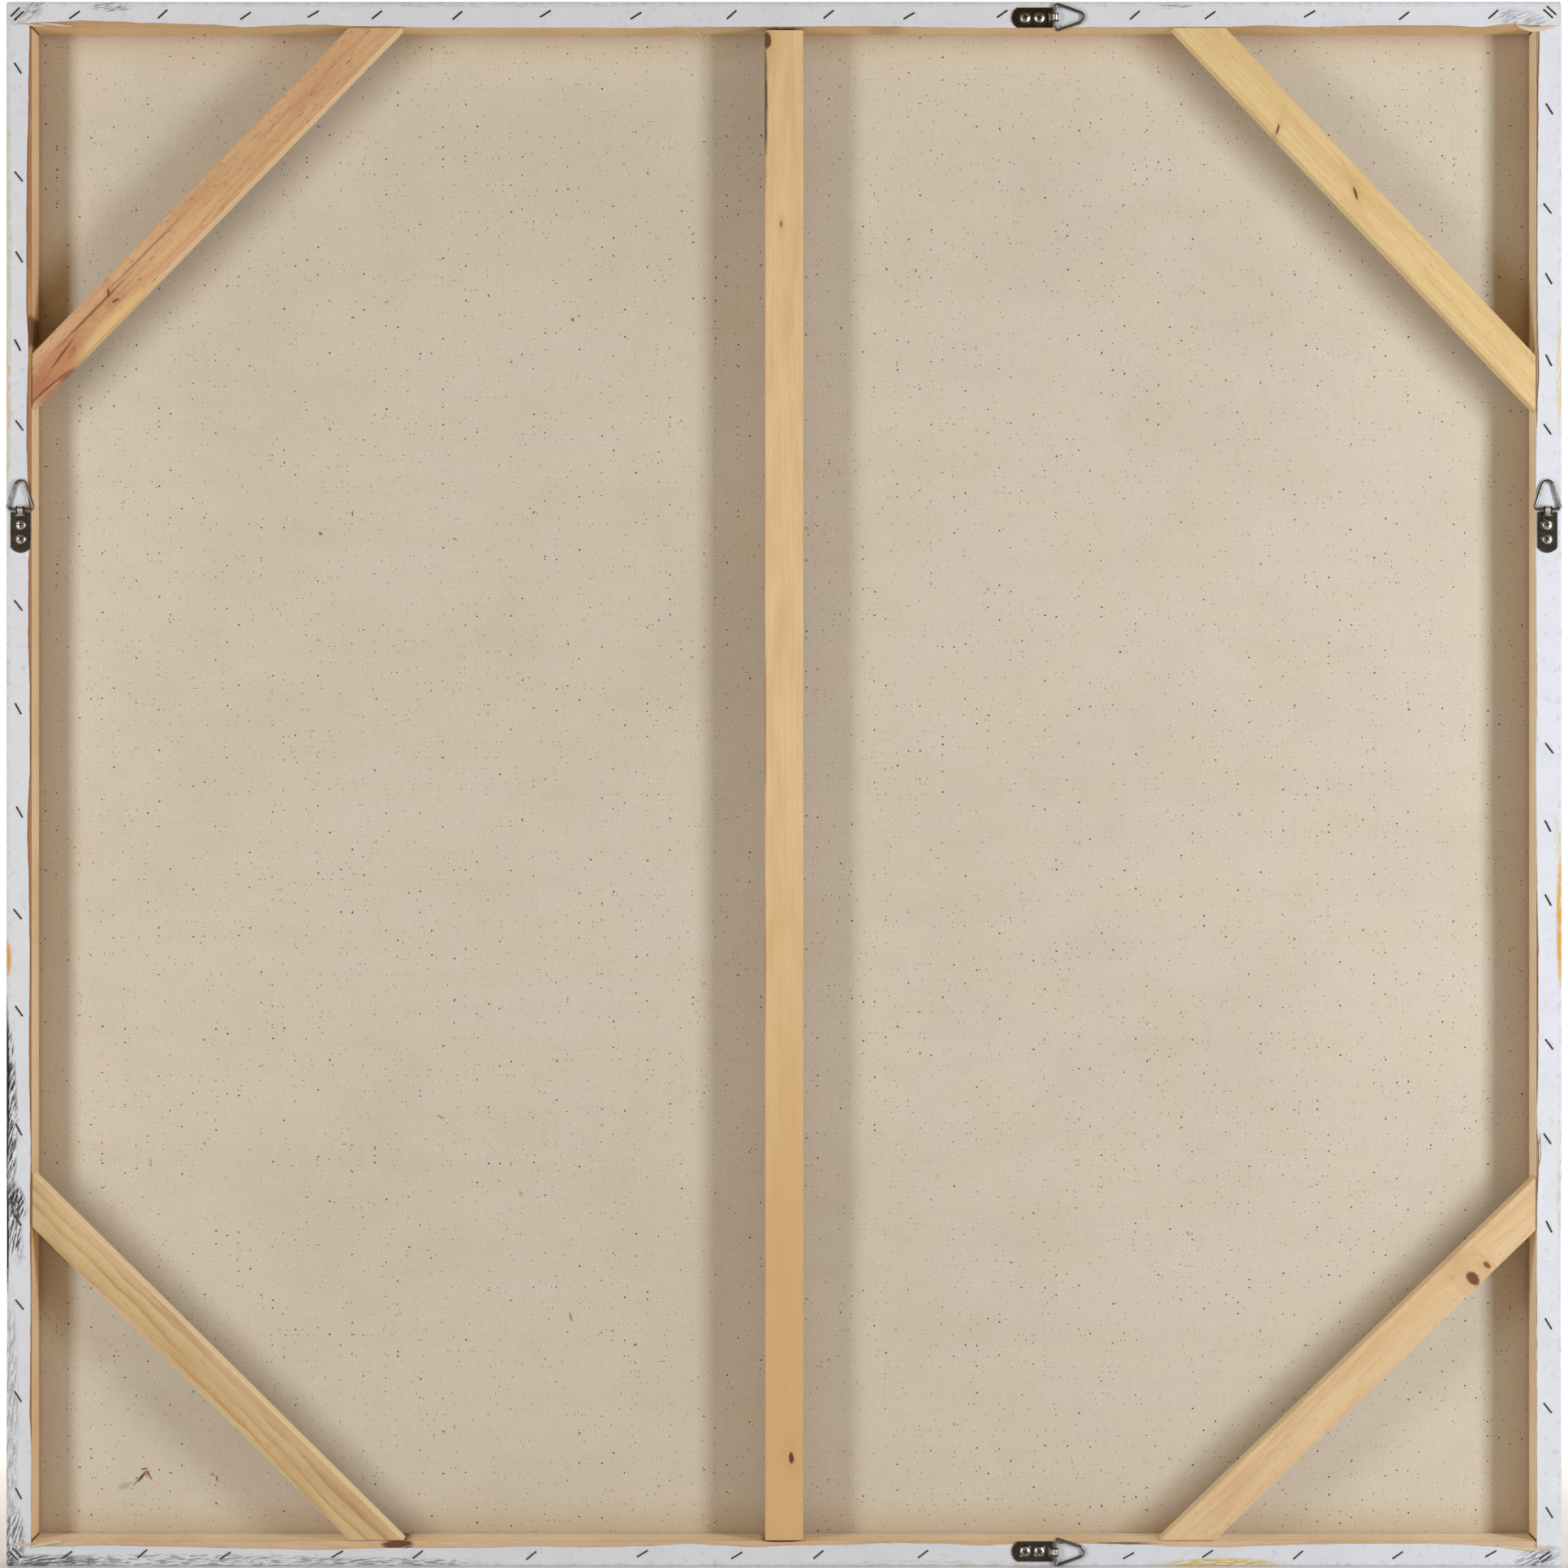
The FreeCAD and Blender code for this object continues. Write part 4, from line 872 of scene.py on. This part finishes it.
def corner_folds(material):
    made = []
    for corner, strips in CORNER_PLIES.items():
        bm = bmesh.new()
        for points, widths, lift in strips:
            ply(bm, points, widths, lift)
        made.append(finish_mesh(f"canvas_fold_{corner}", bm, material))
    return made


# ---------------------------------------------------------------- materials on the CAD pieces

def corner_axis(corner):
    """Along a corner brace, from its end on the side bar to its end on the top or bottom bar."""
    low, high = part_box(f"corner_brace_{corner}")
    rises = corner in ("top_left", "bottom_right")
    return Vector((high.x - low.x, 0.0, (high.z - low.z) * (1 if rises else -1)))


def brace_centre(name):
    low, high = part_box(name)
    return ((low.x + high.x) * 500, (low.z + high.z) * 500)


UP = (0.0, 0.0, 1.0)
ACROSS = (1.0, 0.0, 0.0)

MIDDLE_MM = 613.0

# The dark line of each mitre where it comes out at the frame's inner corner, as stains.
INNER_X = (HALF - RIM) * 1000
INNER_LOW = RIM * 1000
INNER_HIGH = (TOP - RIM) * 1000
MITRE_LINES = {
    side: [(corner, (1.0, 1.0), 0.0, (64, 42, 26), 0.9) for corner in corners]
    for side, corners in {
        "left": ((-INNER_X, INNER_LOW), (-INNER_X, INNER_HIGH)),
        "right": ((INNER_X, INNER_LOW), (INNER_X, INNER_HIGH)),
        "top": ((-INNER_X, INNER_HIGH), (INNER_X, INNER_HIGH)),
        "bottom": ((-INNER_X, INNER_LOW), (INNER_X, INNER_LOW)),
    }.items()
}

wood = {
    "centre_brace": pine(
        "pine_centre_brace", UP, (226, 198, 152), (196, 150, 92), (-60.0, 34.0), 3.2, 0.26,
        (0.0, MIDDLE_MM), dashes=0.12, fade=((206, 168, 116), 120.0, -560.0),
        knots=[((-13.4, 1196.0), (3.4, 6.4), 0.0, (84, 56, 36)), ((5.8, 84.6), (1.9, 4.6), 0.1, (58, 34, 22)),
               ((-2.2, 1052.0), (1.1, 2.6), 0.0, (150, 104, 60))],
        stains=[((-15.4, 1150.0), (2.4, 52.0), 0.0, (84, 56, 36), 0.95),
                ((-14.8, 660.0), (0.9, 60.0), 0.0, (150, 108, 66), 0.6),
                ((-14.9, 480.0), (0.8, 44.0), 0.0, (150, 108, 66), 0.55),
                ((4.0, 240.0), (16.0, 120.0), 0.0, (206, 164, 108), 0.35),
                ((0.0, 20.0), (16.0, 50.0), 0.0, (214, 176, 122), 0.3)], seed=2.0),
    "corner_brace_top_left": pine(
        "pine_brace_top_left", corner_axis("top_left"), (212, 172, 130), (172, 118, 76), (26.0, 26.0),
        2.6, 0.5, brace_centre("corner_brace_top_left"), dashes=0.85, sides=0.55,
        knots=[((-558.0, 951.0), (2.2, 5.6), -0.5, (138, 78, 44)),
               ((-529.5, 998.0), (0.9, 3.4), 0.1, (96, 62, 40)),
               ((-524.0, 992.0), (3.2, 0.8), 0.5, (104, 66, 42))],
        stains=[((-572.0, 938.0), (34.0, 12.0), 0.8, (182, 124, 86), 0.8),
                ((-585.0, 922.0), (14.0, 9.0), 0.8, (164, 102, 70), 0.6),
                ((-524.0, 975.0), (38.0, 6.5), 0.80, (222, 188, 132), 0.85),
                ((-470.0, 1046.0), (40.0, 3.4), 0.80, (216, 180, 126), 0.6),
                ((-541.0, 984.0), (36.0, 1.1), 0.80, (120, 70, 44), 0.75),
                ((-566.0, 950.0), (18.0, 0.9), 0.95, (104, 58, 38), 0.8),
                ((-574.0, 926.0), (22.0, 1.0), 0.70, (116, 66, 44), 0.75),
                ((-500.0, 1030.0), (44.0, 0.9), 0.79, (138, 88, 54), 0.6)], seed=13.0),
    "corner_brace_top_right": pine(
        "pine_brace_top_right", corner_axis("top_right"), (226, 199, 146), (192, 150, 92), (-22.0, 24.0),
        2.9, 0.45, brace_centre("corner_brace_top_right"), sides=0.4,
        knots=[((343.0, 1142.0), (0.9, 3.8), 0.2, (86, 66, 42)),
               ((352.0, 1131.0), (0.8, 2.4), 0.4, (92, 70, 44)),
               ((387.0, 1126.0), (0.8, 4.6), -0.3, (96, 66, 40)),
               ((448.0, 1076.0), (1.2, 5.0), 0.3, (110, 74, 44)),
               ((427.0, 1063.0), (0.7, 3.0), 0.1, (104, 76, 48))], seed=23.0),
    "corner_brace_bottom_left": pine(
        "pine_brace_bottom_left", corner_axis("bottom_left"), (213, 188, 143), (164, 118, 68), (12.0, 30.0),
        5.4, 0.8, brace_centre("corner_brace_bottom_left"), sides=0.9, dashes=0.3, seed=31.0),
    "corner_brace_bottom_right": pine(
        "pine_brace_bottom_right", corner_axis("bottom_right"), (224, 197, 156), (190, 144, 92),
        (-28.0, 22.0), 3.8, 0.5, brace_centre("corner_brace_bottom_right"), sides=0.5,
        knots=[((540.0, 225.4), (4.2, 6.2), 0.75, (112, 58, 34)),
               ((551.0, 236.0), (2.0, 3.4), 0.8, (128, 76, 46))],
        seed=43.0),
    # The right and bottom bars' paler tones are painted light: they brighten those bars' inner walls as if
    # the softboxes lit them more.
    "stretcher_bar_left": pine(
        "pine_bar_left", UP, (240, 214, 172), (204, 158, 106), (16.0, 40.0), 3.0, 0.5, (-600.0, MIDDLE_MM),
        lip=0.85, drift=5.0,
        knots=[((-592.0, 968.0), (9.0, 12.0), 0.0, (110, 70, 42))], stains=MITRE_LINES["left"], seed=53.0),
    "stretcher_bar_right": pine(
        "pine_bar_right", UP, (253, 236, 206), (222, 180, 132), (-20.0, 36.0), 3.2, 0.5, (600.0, MIDDLE_MM),
        lip=0.7, drift=5.0,
        stains=MITRE_LINES["right"], seed=61.0),
    "stretcher_bar_top": pine(
        "pine_bar_top", ACROSS, (227, 198, 154), (188, 142, 94), (18.0, -30.0), 3.0, 0.5, (0.0, 1216.0),
        lip=0.5, drift=5.0,
        stains=[((80.0, 1206.6), (11.0, 1.6), 0.0, (150, 112, 76), 0.4), *MITRE_LINES["top"]], seed=71.0),
    "stretcher_bar_bottom": pine(
        "pine_bar_bottom", ACROSS, (252, 236, 206), (214, 172, 122), (-14.0, 30.0), 3.4, 0.55, (0.0, 10.0),
        lip=0.45, drift=5.0,
        knots=[((-303.0, 17.0), (12.0, 3.4), 0.0, (104, 50, 32)),
               # The second knot is painted shade: a dark line at the bar's inner edge where the centre
               # brace's lower end meets it.
               ((-2.0, 19.6), (15.0, 1.0), 0.0, (96, 68, 46))],
        stains=[((265.0, 17.7), (21.0, 1.0), 0.0, (120, 70, 54), 0.9), *MITRE_LINES["bottom"]], seed=83.0),
}

raw = raw_cotton("raw_cotton", (221, 214, 200), (186, 171, 149))
raw_edge = raw_cotton("raw_cotton_edge", (232, 222, 200), (204, 188, 158), specks=False)
primed = primed_cotton("primed_cotton", (219, 222, 229), (202, 205, 213))
strap = metal("dark_plated_steel", (90, 85, 78), (36, 34, 31), 0.32, (1.2, 1.2, 1.2), (220, 218, 212),
              marks=tongue_marks)
ring_metal = metal("nickel_wire", (150, 149, 146), (78, 76, 74), 0.2, (0.8, 0.8, 0.8))
# The screws' recesses and the feet of their heads get painted shade.
screw_metal = metal("nickel_screw", (186, 183, 177), (120, 116, 110), 0.36, (1.6, 1.6, 1.6), (214, 212, 208),
                    marks=screw_recess_shade)
staple_metal = metal("galvanised_wire", (104, 106, 110), (48, 49, 52), 0.24, (0.6, 1.0, 0.6))
nail_metal = metal("bright_nail", (160, 160, 162), (96, 96, 98), 0.4, (0.6, 0.6, 1.6))


def wear(node, material):
    node.data.materials.clear()
    node.data.materials.append(material)


for name, material in wood.items():
    wear(NODES[name], material)
for side in ("left", "right", "top", "bottom"):
    wear(NODES[f"hanger_strap_{side}"], strap)
    wear(NODES[f"d_ring_{side}"], ring_metal)
    wear(NODES[f"hanger_screws_{side}"], screw_metal)
    wear(NODES[f"staples_{side}"], staple_metal)
wear(NODES["staples_corners"], staple_metal)
wear(NODES["brace_nails"], nail_metal)
wear(NODES["mitre_fasteners"], nail_metal)

cloth = stretched_cloth()
thicken(cloth, (primed, raw, raw_edge))
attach(cloth, "frame")
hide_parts("canvas")
threads = frayed_edges(raw_edge)
folds = corner_folds(raw_edge)


# ---------------------------------------------------------------- studio

def softbox(name, place, size, power, colour=(1.0, 1.0, 1.0)):
    light = bpy.data.lights.new(name, "AREA")
    light.shape = "RECTANGLE"
    light.size, light.size_y = size
    light.energy = power
    light.color = colour
    lamp = bpy.data.objects.new(name, light)
    bpy.context.scene.collection.objects.link(lamp)
    lamp.location = place
    aim = Vector((0.0, 0.0, MIDDLE)) - Vector(place)
    lamp.rotation_euler = aim.to_track_quat("-Z", "Y").to_euler()
    lamp.visible_camera = False
    return lamp


SHADE_DEPTH = 1.42
COOL = (0.90, 0.945, 0.985)
softbox("softbox_left", (-1.61, BACK - SHADE_DEPTH, MIDDLE), (0.36, 2.0), 28.0, COOL)
softbox("softbox_right", (1.78, BACK - SHADE_DEPTH, MIDDLE), (0.36, 2.0), 45.5, (0.89, 0.96, 1.03))
softbox("fill_front_left", (-1.7, FRONT + 1.9, MIDDLE + 0.5), (0.9, 1.4), 7.0)
softbox("fill_front_right", (1.9, FRONT + 1.7, MIDDLE + 0.4), (0.9, 1.4), 5.0)
backlight = softbox("backdrop_light", (0.0, 2.2, 2.2), (4.0, 1.6), 120.0)
backlight.data.spread = math.radians(100.0)
backlight.rotation_euler = (0.0, 0.0, 0.0)

bpy.ops.mesh.primitive_plane_add(size=6.6, location=(0, 0, 0))
floor = bpy.context.object
floor.name = "floor"
paper = Graph("studio_floor")
wash = paper.noise(paper.point(), scale=0.004, detail=3.0)
paper.finish(paper.mix(wash, (236, 236, 236), (228, 228, 229)), 0.7)
floor.data.materials.append(paper.material)
floor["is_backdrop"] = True

world = bpy.data.worlds.new("studio_air")
bpy.context.scene.world = world
world.use_nodes = True
air = world.node_tree
air.nodes.clear()
ambient = air.nodes.new("ShaderNodeBackground")
ambient.inputs["Color"].default_value = (1.0, 0.60, 0.16, 1.0)
ambient.inputs["Strength"].default_value = 0.21
seen = air.nodes.new("ShaderNodeBackground")
seen.inputs["Color"].default_value = (1.0, 1.0, 1.0, 1.0)
seen.inputs["Strength"].default_value = 1.0
rays = air.nodes.new("ShaderNodeLightPath")
blend_air = air.nodes.new("ShaderNodeMixShader")
out_air = air.nodes.new("ShaderNodeOutputWorld")
air.links.new(rays.outputs["Is Camera Ray"], blend_air.inputs[0])
air.links.new(ambient.outputs[0], blend_air.inputs[1])
air.links.new(seen.outputs[0], blend_air.inputs[2])
air.links.new(blend_air.outputs[0], out_air.inputs["Surface"])

CAMERA_DISTANCE = 3.4
lens = bpy.data.cameras.new("camera")
lens.lens = 99.6
lens.sensor_width = 36.0
lens.clip_end = 30.0
camera = bpy.data.objects.new("camera", lens)
bpy.context.scene.collection.objects.link(camera)
camera.location = (0.0, BACK - CAMERA_DISTANCE, MIDDLE)
camera.rotation_euler = (math.pi / 2, 0.0, 0.0)
bpy.context.scene.camera = camera
bpy.context.scene.view_settings.view_transform = "Standard"

low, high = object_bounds()
